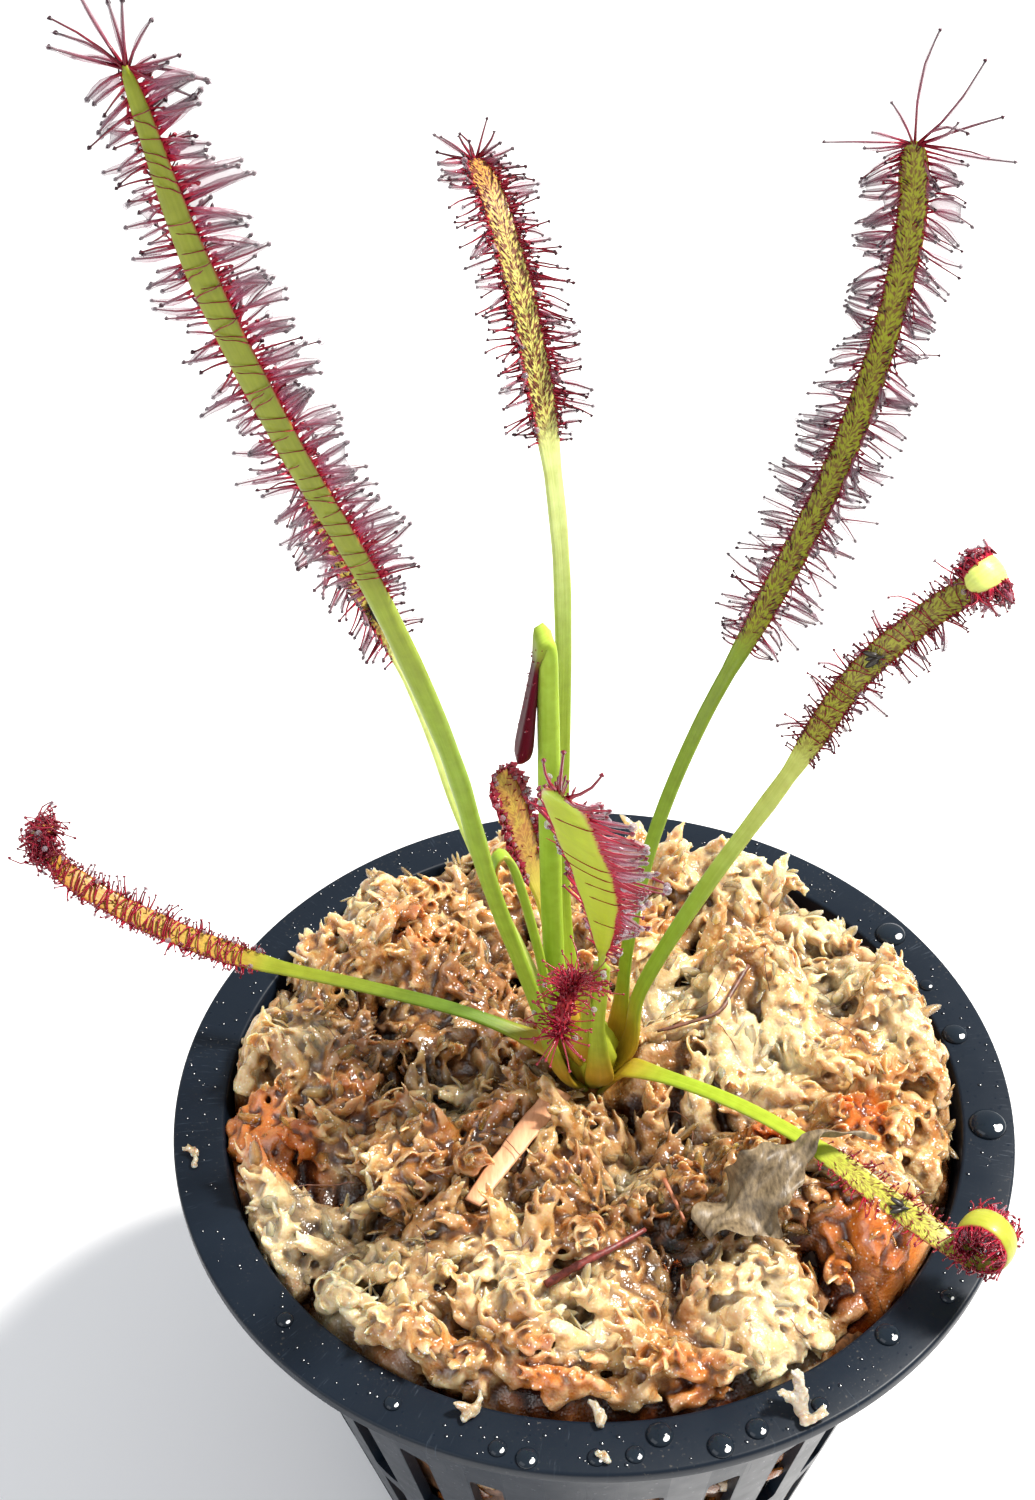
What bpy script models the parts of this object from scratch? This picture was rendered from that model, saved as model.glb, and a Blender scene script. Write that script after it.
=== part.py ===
"""Potted cape sundew: a net pot filled with damp moss, and a rosette of sticky strap leaves.

Metres, +Z up. The origin is the middle of the pot's underside. The front of the pot is -Y.
"""

import math
import random
from dataclasses import dataclass

import bmesh
import bpy
from mathutils import Matrix, Vector, noise

MM = 0.001
GAP = 0.3 * MM

# Net pot: a flat lip round a tapered wall that is cut with slots
POT_HEIGHT = 68 * MM
LIP_RADIUS = 47.5 * MM
LIP_THICKNESS = 1.6 * MM
LIP_BEVEL = 0.4 * MM
MOUTH_RADIUS = 41.7 * MM
FOOT_RADIUS = 29 * MM
WALL = 1.5 * MM
FLOOR_THICKNESS = 1.6 * MM
POT_SIDES = 56
SLOTS_ROUND = 28
SLOT_ROWS = ((8 * MM, 26 * MM), (29 * MM, 47 * MM))
SLOT_SHARE = 0.45
FLOOR_SLOTS = 10
FLOOR_SLOT_FROM = 12 * MM
FLOOR_SLOT_TO = 22 * MM
FLOOR_SLOT_WIDTH = 3 * MM

# Moss bed: fills the pot and stands in tufts above the lip
MOSS_RINGS = 19
MOSS_BASE = 1.6 * MM
MOSS_MOUNDS = (  # x, y, height and half-width of each mound, mm
    (-22, 24, 5.0, 9),
    (20, 29, 5.5, 9),
    (33, 8, 5.0, 9),
    (16, 12, 2.5, 8),
    (-32, 2, 2.5, 8),
    (22, -20, 3.5, 9),
    (-12, -28, 1.5, 10),
    (5, -11, -3.5, 5),
    (-16, 4, -2.0, 6),
    (0, -1, 4.5, 6),
)
TUFT_SIZE = 5.2 * MM
TUFT_HEIGHT = 3.0 * MM
TUFT_CRUMPLE = 0.9 * MM
MOSS_REACH = 2.6 * MM  # how far round a thing lying on it the moss takes its height from it
MOSS_LIFT = 5 * MM  # most that the moss rises to carry a piece of litter
MOSS_AT_CROWN = 5 * MM  # highest that the moss stands round the crown
MOSS_EDGE = 3 * MM  # width of the rim over which the moss falls to the lip
MOSS_EDGE_HEIGHT = -0.3 * MM

# Crown: the stock that the leaves grow from, a little behind the pot's axis
CROWN = Vector((0, 1 * MM, POT_HEIGHT))
CROWN_TOP = 10.8 * MM
CROWN_FOOT = -16 * MM
CROWN_SIDES = 16
CROWN_PROFILE = (  # radius and height above the lip, mm, from the top down
    (1.5, 10.4),
    (2.5, 9.6),
    (3.1, 8.0),
    (3.6, 5.5),
    (3.7, 3.0),
    (3.2, -2.0),
    (2.2, -10.0),
)
CROWN_HOLE_RADIUS = 4.3 * MM

# Leaves and their tentacles
STALK_STEP = 5 * MM
BLADE_STEP = 2.6 * MM
ROLL_STEP = math.radians(32)
ROLL_TIGHTEN = 0.35  # share of its radius that a roll loses on the way in
SECTION_SIDES = 6
BLADE_TAPER = 3.5 * MM
TIP_WIDTH = 0.45  # share of the blade's width left at the very tip
TENTACLE_SPACING = 2 * MM
TENTACLE_ROOT = 0.16 * MM
TENTACLE_HEAD = 0.27 * MM
TENTACLE_SINK = 0.42 * MM
TENTACLE_CLEARANCE = 0.45 * MM
TENTACLE_JITTER = 0.3  # of the spacing
YOUNG_REACH = 6 * MM  # tentacles grow to full length over this part of the blade
CURLED_LENGTH = 0.6  # share of their length that tentacles keep inside a roll
FAN_SPREAD = math.radians(78)
FACE_TENTACLE = 2.2 * MM
FACE_EVERY = 4  # spacings between tentacles on the sticky face


@dataclass
class Leaf:
    """One leaf: where it leaves the crown, the way it leans, and the curve of its rib, in mm."""

    name: str
    socket: tuple  # azimuth in degrees, height above the lip
    azimuth: float  # degrees from +X
    knots: tuple  # reach from the crown's axis, and height above the lip
    blade_from: float  # share of the length at which the blade begins
    stalk: tuple  # width and thickness
    blade: tuple  # width and thickness
    side: float  # length of a side tentacle
    tip: float  # length of the fan at the tip
    twist: float = 0  # turn of the blade about its rib, degrees
    roll: tuple = ()  # radius and turns of a tip that rolls in
    bow: float = 0  # sideways bulge at mid-length
    color: tuple = (0.40, 0.52, 0.05)


LEAVES = (
    Leaf("leaf_low_left", (172, 4.6), 166,
         ((6.5, 5.6), (15, 8.4), (27, 10), (38, 11), (46.5, 13), (55, 16.6), (60.5, 20.4), (63.6, 24.4)),
         0.56, (1.5, 1.1), (2.4, 0.8), 2.3, 2.2, twist=-20, roll=(2.0, 0.4),
         color=(0.62, 0.42, 0.06)),
    Leaf("leaf_low_right", (-36, 4.6), -38,
         ((6.5, 6.6), (15, 9.0), (23, 9.9), (31, 9.2), (38, 7.4), (47, 5.6)),
         0.62, (1.6, 1.1), (2.8, 0.8), 2.6, 2.4, twist=20, roll=(3.0, 1.0),
         color=(0.55, 0.58, 0.05)),
    Leaf("leaf_tall_left", (218, 5.6), 213,
         ((7.6, 19), (12.5, 38), (16.4, 57), (22.5, 77), (29.4, 94.5), (34.6, 110), (37.8, 125)),
         0.60, (1.7, 1.2), (2.2, 0.8), 4.8, 6.0, twist=50),
    Leaf("leaf_tall_right", (42, 6.4), 33,
         ((4.9, 20), (7.9, 34), (13.3, 46.4), (20.9, 58), (27.6, 69), (32.3, 80.6), (34.8, 93),
          (34.2, 102.6)),
         0.55, (1.6, 1.1), (2.2, 0.8), 5.2, 8.0, twist=35,
         color=(0.28, 0.34, 0.04)),
    Leaf("leaf_mid_right", (2, 6.4), 10,
         ((5.6, 14.2), (12, 28), (20, 42), (26, 53.5), (31.6, 59.5), (37.4, 63.6)),
         0.64, (1.6, 1.1), (2.2, 0.8), 3.6, 3.2, twist=45, roll=(2.2, 0.6)),
    Leaf("leaf_back", (106, 6.6), 112,
         ((6.8, 16.5), (8.0, 29), (7.8, 43), (7.3, 57), (8.1, 69.4), (11.4, 81), (16.6, 90.6), (22.4, 97),
          (27.3, 99.4)),
         0.73, (1.8, 1.2), (2.2, 0.8), 3.8, 4.2,
         color=(0.62, 0.60, 0.10)),
    Leaf("leaf_behind_left", (146, 6.8), 166,
         ((7.6, 19.5), (10.8, 28), (14.2, 39), (17.2, 51), (20.6, 61), (24.6, 69), (27.3, 77.6)),
         0.73, (1.3, 1.0), (2.2, 0.8), 4.0, 4.6, twist=-40,
         color=(0.70, 0.72, 0.25)),
    Leaf("leaf_front", (-80, 6.2), -95,
         ((6.6, 17), (14.5, 33), (25, 50), (37, 67), (48.5, 81.5), (57, 93.5)),
         0.38, (1.7, 1.2), (3.2, 0.8), 4.2, 5.2, twist=-28, bow=1.7),
    Leaf("leaf_young_back", (138, 9.4), 146,
         ((4.3, 14), (5.4, 22), (7.2, 29), (9.2, 36), (11.4, 41.7)),
         0.62, (1.6, 1.1), (2.8, 0.9), 1.5, 1.8, twist=-15,
         color=(0.66, 0.46, 0.06)),
    Leaf("leaf_unfolding", (178, 10.0), 190,
         ((3.6, 14.5), (4.1, 30), (4.2, 45), (4.6, 57), (4.8, 63.2), (5.4, 65.2), (6.0, 63.4), (6.7, 58),
          (7.7, 49.4)),
         0.80, (1.9, 1.2), (1.5, 1.3), 1.0, 1.2,
         color=(0.45, 0.60, 0.12)),
    Leaf("leaf_small_hook", (224, 9.2), 206,
         ((5.4, 19), (6.4, 25), (7.9, 33), (9.2, 38.4), (10.4, 40.2), (11.4, 38.4), (11.2, 33)),
         0.80, (1.2, 0.9), (1.0, 0.8), 0, 0),
    Leaf("leaf_young_front", (-114, 9.0), -99.5,
         ((5.6, 15.5), (11, 26), (16, 33), (20.5, 37), (24.2, 37.2), (26.6, 34.4)),
         0.60, (1.4, 1.0), (2.2, 0.8), 3.0, 4.2, bow=-1.8),
)

# What lies on the moss: x, y, height above the lip, mm
DEAD_STALK_RUN = ((-3.6, -3.8, 3.6), (-7.0, -8.0, 4.2), (-10.4, -13.4, 4.4), (-13.4, -18.6, 4.0))
DEAD_STALK_SIZE = (1.9, 0.7)
DRIED_LEAF_RUN = (
    (10.5, -24.4, 5.6), (13.5, -22.6, 7.2), (17.0, -20.4, 9.2), (20.0, -18.6, 11.0),
    (22.6, -17.3, 11.9), (25.4, -16.8, 11.8), (28.8, -16.8, 11.0),
)
DRIED_LEAF_WIDTHS = (5.0, 8.0, 7.0, 4.0, 1.6, 0.9, 0.7)
DRIED_LEAF_THICKNESS = 0.8
DRIED_LEAF_CRUMPLE = 0.25  # how far its edges bend up and down
ROOT_FIBRE_RUN = ((18.6, 10.8, 8.2), (16.6, 7.4, 7.8), (14.6, 4.6, 7.2), (11.0, 3.6, 6.6), (7.6, 3.0, 6.0))
ROOT_FIBRE_RADIUS = 0.35
DRIED_TWIG_RUN = ((-6.0, -28.6, 3.6), (-2.6, -26.8, 4.2), (0.8, -25.2, 4.6), (4.6, -22.6, 4.2))
DRIED_TWIG_RADIUS = 0.5
DRIED_NEEDLE_RUN = ((6.9, -17.0, 5.2), (7.9, -19.4, 4.7), (8.8, -21.6, 4.0))
DRIED_NEEDLE_RADIUS = 0.3


def clear_scene():
    for item in list(bpy.data.objects):
        bpy.data.objects.remove(item, do_unlink=True)


def new_collection(name):
    collection = bpy.data.collections.new(name)
    bpy.context.scene.collection.children.link(collection)
    return collection


def principled(name, color, roughness, metallic=0.0):
    material = bpy.data.materials.new(name)
    material.use_nodes = True
    shader = material.node_tree.nodes["Principled BSDF"]
    shader.inputs["Base Color"].default_value = (*color, 1)
    shader.inputs["Roughness"].default_value = roughness
    shader.inputs["Metallic"].default_value = metallic
    return material


def add_object(name, mesh, collection, *materials):
    item = bpy.data.objects.new(name, mesh)
    for material in materials:
        mesh.materials.append(material)
    collection.objects.link(item)
    return item


def bake(item):
    """Replace an object's curve or modifiers with the mesh that they make."""
    depsgraph = bpy.context.evaluated_depsgraph_get()
    mesh = bpy.data.meshes.new_from_object(item.evaluated_get(depsgraph))
    if item.type == "CURVE":
        body = bmesh.new()
        body.from_mesh(mesh)
        bmesh.ops.remove_doubles(body, verts=body.verts, dist=0.001 * MM)
        body.to_mesh(mesh)
        body.free()
        baked = bpy.data.objects.new(item.name, mesh)
        baked.matrix_world = item.matrix_world
        for collection in item.users_collection:
            collection.objects.link(baked)
        name = item.name
        bpy.data.objects.remove(item)
        baked.name = name
        return baked
    item.modifiers.clear()
    item.data = mesh
    return item


def turned(name, profile, sides, collection, material):
    """A solid of revolution from (radius, height) points that run down its outer side."""
    outline = bmesh.new()
    points = [outline.verts.new((radius, 0, height)) for radius, height in profile]
    for first, second in zip(points, points[1:]):
        outline.edges.new((first, second))
    mesh = bpy.data.meshes.new(name)
    outline.to_mesh(mesh)
    outline.free()
    item = add_object(name, mesh, collection, material)
    screw = item.modifiers.new("turn", "SCREW")
    screw.steps = screw.render_steps = sides
    screw.use_merge_vertices = True
    screw.merge_threshold = 0.01 * MM
    return bake(item)


def smooth_shade(item, angle=50):
    item.data.shade_smooth()
    item.data.set_sharp_from_angle(angle=math.radians(angle))


def wall_radius(height):
    """Outer radius of the pot's wall at a height."""
    top = MOUTH_RADIUS + WALL
    return FOOT_RADIUS + (top - FOOT_RADIUS) * height / POT_HEIGHT


def add_block(body, width, start, end, low, high, angle):
    """A box that lies along the radius at an angle, from one radius to another."""
    size = Matrix.Diagonal((end - start, width, high - low, 1))
    place = Matrix.Translation(((start + end) / 2, 0, (low + high) / 2))
    bmesh.ops.create_cube(body, size=1, matrix=Matrix.Rotation(angle, 4, "Z") @ place @ size)


def net_pot(parts, cutters):
    plastic = principled("pot_plastic", (0.011, 0.022, 0.038), 0.38)
    profile = (
        (0, FLOOR_THICKNESS),
        (wall_radius(FLOOR_THICKNESS) - WALL, FLOOR_THICKNESS),
        (MOUTH_RADIUS, POT_HEIGHT - LIP_BEVEL),
        (MOUTH_RADIUS + LIP_BEVEL, POT_HEIGHT),
        (LIP_RADIUS - LIP_BEVEL, POT_HEIGHT),
        (LIP_RADIUS, POT_HEIGHT - LIP_BEVEL),
        (LIP_RADIUS, POT_HEIGHT - LIP_THICKNESS),
        (wall_radius(POT_HEIGHT - LIP_THICKNESS), POT_HEIGHT - LIP_THICKNESS),
        (FOOT_RADIUS, 0),
        (0, 0),
    )
    pot = turned("net_pot", profile, POT_SIDES, parts, plastic)
    slots = bmesh.new()
    reach = 3 * WALL
    for low, high in SLOT_ROWS:
        radius = wall_radius((low + high) / 2)
        width = SLOT_SHARE * math.tau * radius / SLOTS_ROUND
        for turn in range(SLOTS_ROUND):
            angle = math.tau * (turn + 0.5) / SLOTS_ROUND
            add_block(slots, width, wall_radius(low) - reach, wall_radius(high) + reach, low, high, angle)
    for turn in range(FLOOR_SLOTS):
        angle = math.tau * turn / FLOOR_SLOTS
        add_block(
            slots, FLOOR_SLOT_WIDTH, FLOOR_SLOT_FROM, FLOOR_SLOT_TO, -WALL, 2 * FLOOR_THICKNESS, angle)
    mesh = bpy.data.meshes.new("pot_slots")
    slots.to_mesh(mesh)
    slots.free()
    cutter = add_object("pot_slots", mesh, cutters)
    cutter.hide_render = True
    cutter.display_type = "WIRE"
    cut = pot.modifiers.new("slots", "BOOLEAN")
    cut.operation = "DIFFERENCE"
    cut.object = cutter
    smooth_shade(pot, 35)


def curve_through(knots, step):
    """Even points along the smooth curve through the knots, the last one included."""
    padded = [2 * knots[0] - knots[1], *knots, 2 * knots[-1] - knots[-2]]
    dense = []
    pieces = 24
    for before, start, end, after in zip(padded, padded[1:], padded[2:], padded[3:]):
        for piece in range(pieces):
            t = piece / pieces
            dense.append(0.5 * (
                2 * start + (end - before) * t
                + (2 * before - 5 * start + 4 * end - after) * t ** 2
                + (3 * start - before - 3 * end + after) * t ** 3))
    dense.append(knots[-1])
    length = sum((b - a).length for a, b in zip(dense, dense[1:]))
    count = max(2, round(length / step))
    points = [dense[0]]
    travelled = 0
    for first, second in zip(dense, dense[1:]):
        travelled += (second - first).length
        if travelled >= length * len(points) / count and len(points) < count:
            points.append(second)
    points.append(dense[-1])
    return points, length


@dataclass
class Station:
    """A place along a leaf: its rib point, its directions and its cross-section."""

    point: Vector
    along: Vector
    across: Vector
    face: Vector
    width: float
    thickness: float
    blade: float  # distance past the start of the blade, negative on the stalk
    left: float  # distance to the tip


def leaf_stations(leaf):
    """Follow a leaf from its socket to its tip."""
    lean = math.radians(leaf.azimuth)
    outward = Vector((math.cos(lean), math.sin(lean), 0))
    sideways = Vector((-math.sin(lean), math.cos(lean), 0))
    around = math.radians(leaf.socket[0])
    first_reach, first_height = leaf.knots[0]
    crown_width = crown_radius(leaf.socket[1]) / MM
    steep = math.sin(math.atan2(first_height - leaf.socket[1], first_reach - crown_width))
    base_radius = (crown_width + steep * leaf.stalk[1] / 2) * MM + GAP
    base = Vector((math.cos(around), math.sin(around), 0)) * base_radius
    knots = [CROWN + base + Vector((0, 0, leaf.socket[1] * MM))]
    for index, (reach, height) in enumerate(leaf.knots):
        drift = leaf.bow * math.sin(math.pi * (index + 1) / len(leaf.knots))
        knots.append(CROWN + outward * reach * MM + sideways * drift * MM + Vector((0, 0, height * MM)))
    fine, length = curve_through(knots, 1 * MM)
    blade_start = length * leaf.blade_from
    rolled = 0
    if leaf.roll:
        rolled = leaf.roll[0] * MM * math.tau * leaf.roll[1]
    points = []
    travelled = 0
    next_stop = 0
    for index, point in enumerate(fine):
        if index:
            travelled += (point - fine[index - 1]).length
        if travelled >= next_stop or index == len(fine) - 1:
            before = fine[max(index - 1, 0)]
            after = fine[min(index + 1, len(fine) - 1)]
            points.append((point, (after - before).normalized(), travelled))
            near_blade = travelled > blade_start - STALK_STEP
            next_stop = travelled + (BLADE_STEP if near_blade else STALK_STEP)
    stations = []
    for point, along, travelled in points:
        across = (sideways - along * sideways.dot(along)).normalized()
        face = along.cross(across).normalized()
        ease = min(1, max(0, travelled / blade_start))
        turn = Matrix.Rotation(math.radians(leaf.twist) * ease, 3, along)
        across = turn @ across
        face = turn @ face
        stations.append(station(leaf, point, along, across, face, travelled, blade_start, length + rolled))
    if leaf.roll:
        stations += rolled_tip(leaf, stations[-1], length, blade_start, length + rolled)
    return stations


def station(leaf, point, along, across, face, travelled, blade_start, total):
    """Give a place on the leaf its width: a stalk, a strap and a rounded tip."""
    past = travelled - blade_start
    share = min(1, max(0, past / (2 * BLADE_TAPER) + 0.5))
    width = leaf.stalk[0] + (leaf.blade[0] - leaf.stalk[0]) * share
    thickness = leaf.stalk[1] + (leaf.blade[1] - leaf.stalk[1]) * share
    left = total - travelled
    if left < BLADE_TAPER:
        rounding = math.sqrt(max(0, 1 - (1 - left / BLADE_TAPER) ** 2))
        width *= between(TIP_WIDTH, 1, rounding)
    return Station(point, along, across, face, width * MM, thickness * MM, past, left)


def rolled_tip(leaf, last, travelled, blade_start, total):
    """Carry the blade on in a spiral that closes over its sticky face."""
    radius, turns = leaf.roll[0] * MM, leaf.roll[1]
    steps = round(turns * math.tau / ROLL_STEP)
    stations = []
    point, along, face = last.point, last.along, last.face
    for index in range(steps):
        tighten = 1 - ROLL_TIGHTEN * index / steps
        turn = Matrix.Rotation(-ROLL_STEP, 3, last.across)
        new_along = (turn @ along).normalized()
        stride = radius * tighten * ROLL_STEP
        point = point + (along + new_along).normalized() * stride
        along = new_along
        face = along.cross(last.across).normalized()
        travelled += radius * math.tau * turns / steps
        stations.append(station(leaf, point, along, last.across, face, travelled, blade_start, total))
    return stations


def crown_radius(height):
    """Radius of the crown at a height above the lip in mm."""
    for (upper, top), (lower, bottom) in zip(CROWN_PROFILE, CROWN_PROFILE[1:]):
        if bottom <= height <= top:
            return between(lower, upper, (height - bottom) / (top - bottom)) * MM
    return CROWN_PROFILE[0][0] * MM


def loft(name, rings, collection, material):
    """Skin a run of rings of points, closed at both ends."""
    body = bmesh.new()
    loops = [[body.verts.new(point) for point in ring] for ring in rings]
    count = len(rings[0])
    for lower, upper in zip(loops, loops[1:]):
        for side in range(count):
            after = (side + 1) % count
            body.faces.new((lower[side], lower[after], upper[after], upper[side]))
    body.faces.new(loops[0][::-1])
    body.faces.new(loops[-1])
    bmesh.ops.triangulate(body, faces=body.faces)
    bmesh.ops.recalc_face_normals(body, faces=body.faces)
    mesh = bpy.data.meshes.new(name)
    body.to_mesh(mesh)
    body.free()
    return add_object(name, mesh, collection, material)


def section(place, sides=SECTION_SIDES):
    """A flat lens-shaped ring across a leaf."""
    ring = []
    for corner in range(sides):
        angle = math.tau * corner / sides
        ring.append(place.point + place.across * (math.cos(angle) * place.width / 2)
                    + place.face * (math.sin(angle) * place.thickness / 2))
    return ring


def between(low, high, share):
    return low + (high - low) * share


def place_at(stations, distance):
    """The station at a distance past the start of the blade, between its neighbours."""
    for lower, upper in zip(stations, stations[1:]):
        if lower.blade <= distance <= upper.blade:
            share = (distance - lower.blade) / (upper.blade - lower.blade)
            return Station(
                between(lower.point, upper.point, share),
                between(lower.along, upper.along, share).normalized(),
                between(lower.across, upper.across, share).normalized(),
                between(lower.face, upper.face, share).normalized(),
                between(lower.width, upper.width, share),
                between(lower.thickness, upper.thickness, share),
                distance,
                between(lower.left, upper.left, share))
    return stations[-1]


def tentacle_plan(leaf, stations, draw):
    """Roots and tips of a leaf's tentacles: both edges, the tip's fan and the sticky face."""
    plan = []
    last = stations[-1]
    distance = TENTACLE_SPACING / 2
    jitter = TENTACLE_JITTER * TENTACLE_SPACING
    while distance < last.blade - jitter:
        for hand in (-1, 1):
            place = place_at(stations, distance + draw.uniform(-jitter, jitter))
            length = leaf.side * MM * min(1, 0.55 + distance / YOUNG_REACH) * draw.uniform(0.8, 1.08)
            if leaf.roll and last.blade - distance < leaf.roll[0] * 5 * MM:
                length *= CURLED_LENGTH
            lift = math.radians(draw.uniform(2, 38))
            forward = draw.uniform(-0.25, 0.45)
            way = place.across * hand * math.cos(lift) + place.face * math.sin(lift) + place.along * forward
            root = place.point + place.across * hand * (place.width / 2 - TENTACLE_SINK)
            plan.append((root, root + way.normalized() * length))
        distance += TENTACLE_SPACING
    fan = 7 if leaf.tip > 1.5 else 3
    for ray in range(fan):
        spread = between(-FAN_SPREAD, FAN_SPREAD, ray / (fan - 1))
        lift = math.radians(draw.uniform(-4, 30))
        way = (last.along * math.cos(spread) + last.across * math.sin(spread)) * math.cos(lift)
        way += last.face * math.sin(lift)
        root = last.point - last.along * TENTACLE_SINK + last.across * math.sin(spread) * 0.2 * MM
        plan.append((root, root + way.normalized() * leaf.tip * MM * draw.uniform(0.8, 1.1)))
    distance = 2 * TENTACLE_SPACING
    while distance < last.blade - TENTACLE_SPACING:
        place = place_at(stations, distance)
        offset = draw.uniform(-0.24, 0.24)
        root = place.point + place.across * offset * place.width
        way = place.face + place.across * 1.2 * offset + place.along * draw.uniform(-0.2, 0.3)
        reach = min(FACE_TENTACLE, 0.6 * leaf.side * MM) * draw.uniform(0.8, 1.1)
        plan.append((root, root + way.normalized() * reach))
        distance += FACE_EVERY * TENTACLE_SPACING
    return plan


def near(segment, points, clearance):
    """Whether a straight tentacle passes closer to any of the points than the clearance."""
    root, tip = segment
    run = tip - root
    for point in points:
        share = min(1, max(0, (point - root).dot(run) / run.length_squared))
        if (root + run * share - point).length < clearance:
            return True
    return False


def rib_points(stations):
    """Close points on both edges and the middle of a leaf, for keeping tentacles clear of it."""
    points = []
    for lower, upper in zip(stations, stations[1:]):
        for piece in range(8):
            share = piece / 8
            middle = between(lower.point, upper.point, share)
            half = between(lower.across * lower.width, upper.across * upper.width, share) / 2
            points += [middle, middle + half, middle - half]
    return points


def tentacle_points(segment):
    root, tip = segment
    return [between(root, tip, share) for share in (0.3, 0.5, 0.7, 0.85, 1)]


def join_all(item, pieces, solver):
    """One union of an object with every piece in a collection, applied, the pieces removed."""
    union = item.modifiers.new("grown_together", "BOOLEAN")
    union.operation = "UNION"
    union.solver = solver
    union.operand_type = "COLLECTION"
    union.collection = pieces
    bake(item)
    for piece in list(pieces.objects):
        bpy.data.objects.remove(piece)
    bpy.data.collections.remove(pieces)


def grow_leaf(leaf, stations, avoid, parts, gland, draw):
    """A leaf blade with its stalk, and its tentacles fused to it."""
    green = principled(leaf.name + "_green", leaf.color, 0.45)
    item = loft(leaf.name, [section(place) for place in stations], parts, green)
    item.data.materials.append(gland)
    plan = []
    if leaf.side:
        plan = [line for line in tentacle_plan(leaf, stations, draw)
                if not near(line, avoid, TENTACLE_CLEARANCE + TENTACLE_HEAD)]
    if plan:
        pieces = new_collection(leaf.name + "_tentacles")
        for index, (root, tip) in enumerate(plan):
            run = tip - root
            aim = run.to_track_quat("Z", "Y").to_matrix().to_4x4()
            spike = bmesh.new()
            bmesh.ops.create_cone(
                spike, cap_ends=True, segments=3, radius1=TENTACLE_ROOT, radius2=TENTACLE_HEAD,
                depth=run.length, matrix=Matrix.Translation((root + tip) / 2) @ aim)
            mesh = bpy.data.meshes.new("tentacle")
            spike.to_mesh(mesh)
            spike.free()
            add_object(f"{leaf.name}_tentacle_{index}", mesh, pieces, gland)
        join_all(item, pieces, "MANIFOLD")
    smooth_shade(item)
    return [point for line in plan for point in tentacle_points(line)]


def moss_height(x, y):
    """Height of the moss above the lip: mounds, and tufts larger than life."""
    height = MOSS_BASE
    for mound_x, mound_y, rise, spread in MOSS_MOUNDS:
        away = math.hypot(x - mound_x * MM, y - mound_y * MM) / (spread * MM)
        height += rise * MM * math.exp(-away * away)
    place = Vector((x / TUFT_SIZE, y / TUFT_SIZE, 3.7))
    distances, centres = noise.voronoi(place)
    lean = noise.cell(centres[0] * 7.3)
    height += TUFT_HEIGHT * (0.9 - 1.3 * distances[0]) * (0.75 + 0.5 * lean)
    return height + TUFT_CRUMPLE * (2 * noise.cell(Vector((x, y, 0)) / (0.9 * MM)) - 1)


def seats(vertex, things):
    """Heights at which the moss would just carry the things over a vertex."""
    return [point.z - POT_HEIGHT - under - 1.2 * GAP for point, half_width, under in things
            if (point.xy - vertex.co.xy).length < half_width + MOSS_REACH]


def moss_bed(parts, carried, overhead):
    """Moss that fills the pot, raised or pressed down to carry the litter, and clear of the leaves."""
    damp = principled("moss_damp", (0.52, 0.33, 0.13), 0.5)
    mouth = MOUTH_RADIUS - LIP_BEVEL - GAP
    body = bmesh.new()
    bmesh.ops.create_circle(body, cap_ends=True, cap_tris=True, segments=6, radius=mouth)
    bmesh.ops.subdivide_edges(body, edges=body.edges[:], cuts=MOSS_RINGS - 1, use_grid_fill=True)
    bmesh.ops.triangulate(body, faces=body.faces)
    sixth = math.tau / 6
    for vertex in body.verts:
        angle = (math.atan2(vertex.co.y, vertex.co.x) + sixth / 2) % sixth
        flat_side = math.cos(sixth / 2) / math.cos(angle - sixth / 2)
        vertex.co.xy = vertex.co.xy / flat_side
    rim = [edge for edge in body.edges if edge.is_boundary]
    for low in (POT_HEIGHT - 2 * MM, FLOOR_THICKNESS + GAP):
        wall = bmesh.ops.extrude_edge_only(body, edges=rim)["geom"]
        rim = [part for part in wall if isinstance(part, bmesh.types.BMEdge) and part.is_boundary]
        ring = {vertex for edge in rim for vertex in edge.verts}
        radius = wall_radius(low) - WALL - GAP - 0.1 * MM
        for vertex in ring:
            vertex.co.xy = vertex.co.xy.normalized() * radius
            vertex.co.z = low
    bmesh.ops.contextual_create(body, geom=rim)
    for vertex in body.verts:
        if vertex.co.z > 0:
            continue
        x, y = vertex.co.xy
        top = moss_height(x, y)
        edge = (mouth - vertex.co.xy.length) / MOSS_EDGE
        top = between(MOSS_EDGE_HEIGHT, top, math.sqrt(min(1, max(0, edge))))
        around_crown = (Vector((x, y)) - CROWN.xy).length
        if around_crown < CROWN_HOLE_RADIUS + MOSS_REACH:
            top = min(top, MOSS_AT_CROWN)
        under_litter = seats(vertex, carried)
        if under_litter:
            top = min(top + MOSS_LIFT, *under_litter)
        vertex.co.z = POT_HEIGHT + min([top, *seats(vertex, overhead)])
    bmesh.ops.triangulate(body, faces=body.faces)
    bmesh.ops.recalc_face_normals(body, faces=body.faces)
    mesh = bpy.data.meshes.new("moss_bed")
    body.to_mesh(mesh)
    body.free()
    return add_object("moss_bed", mesh, parts, damp)


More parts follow.
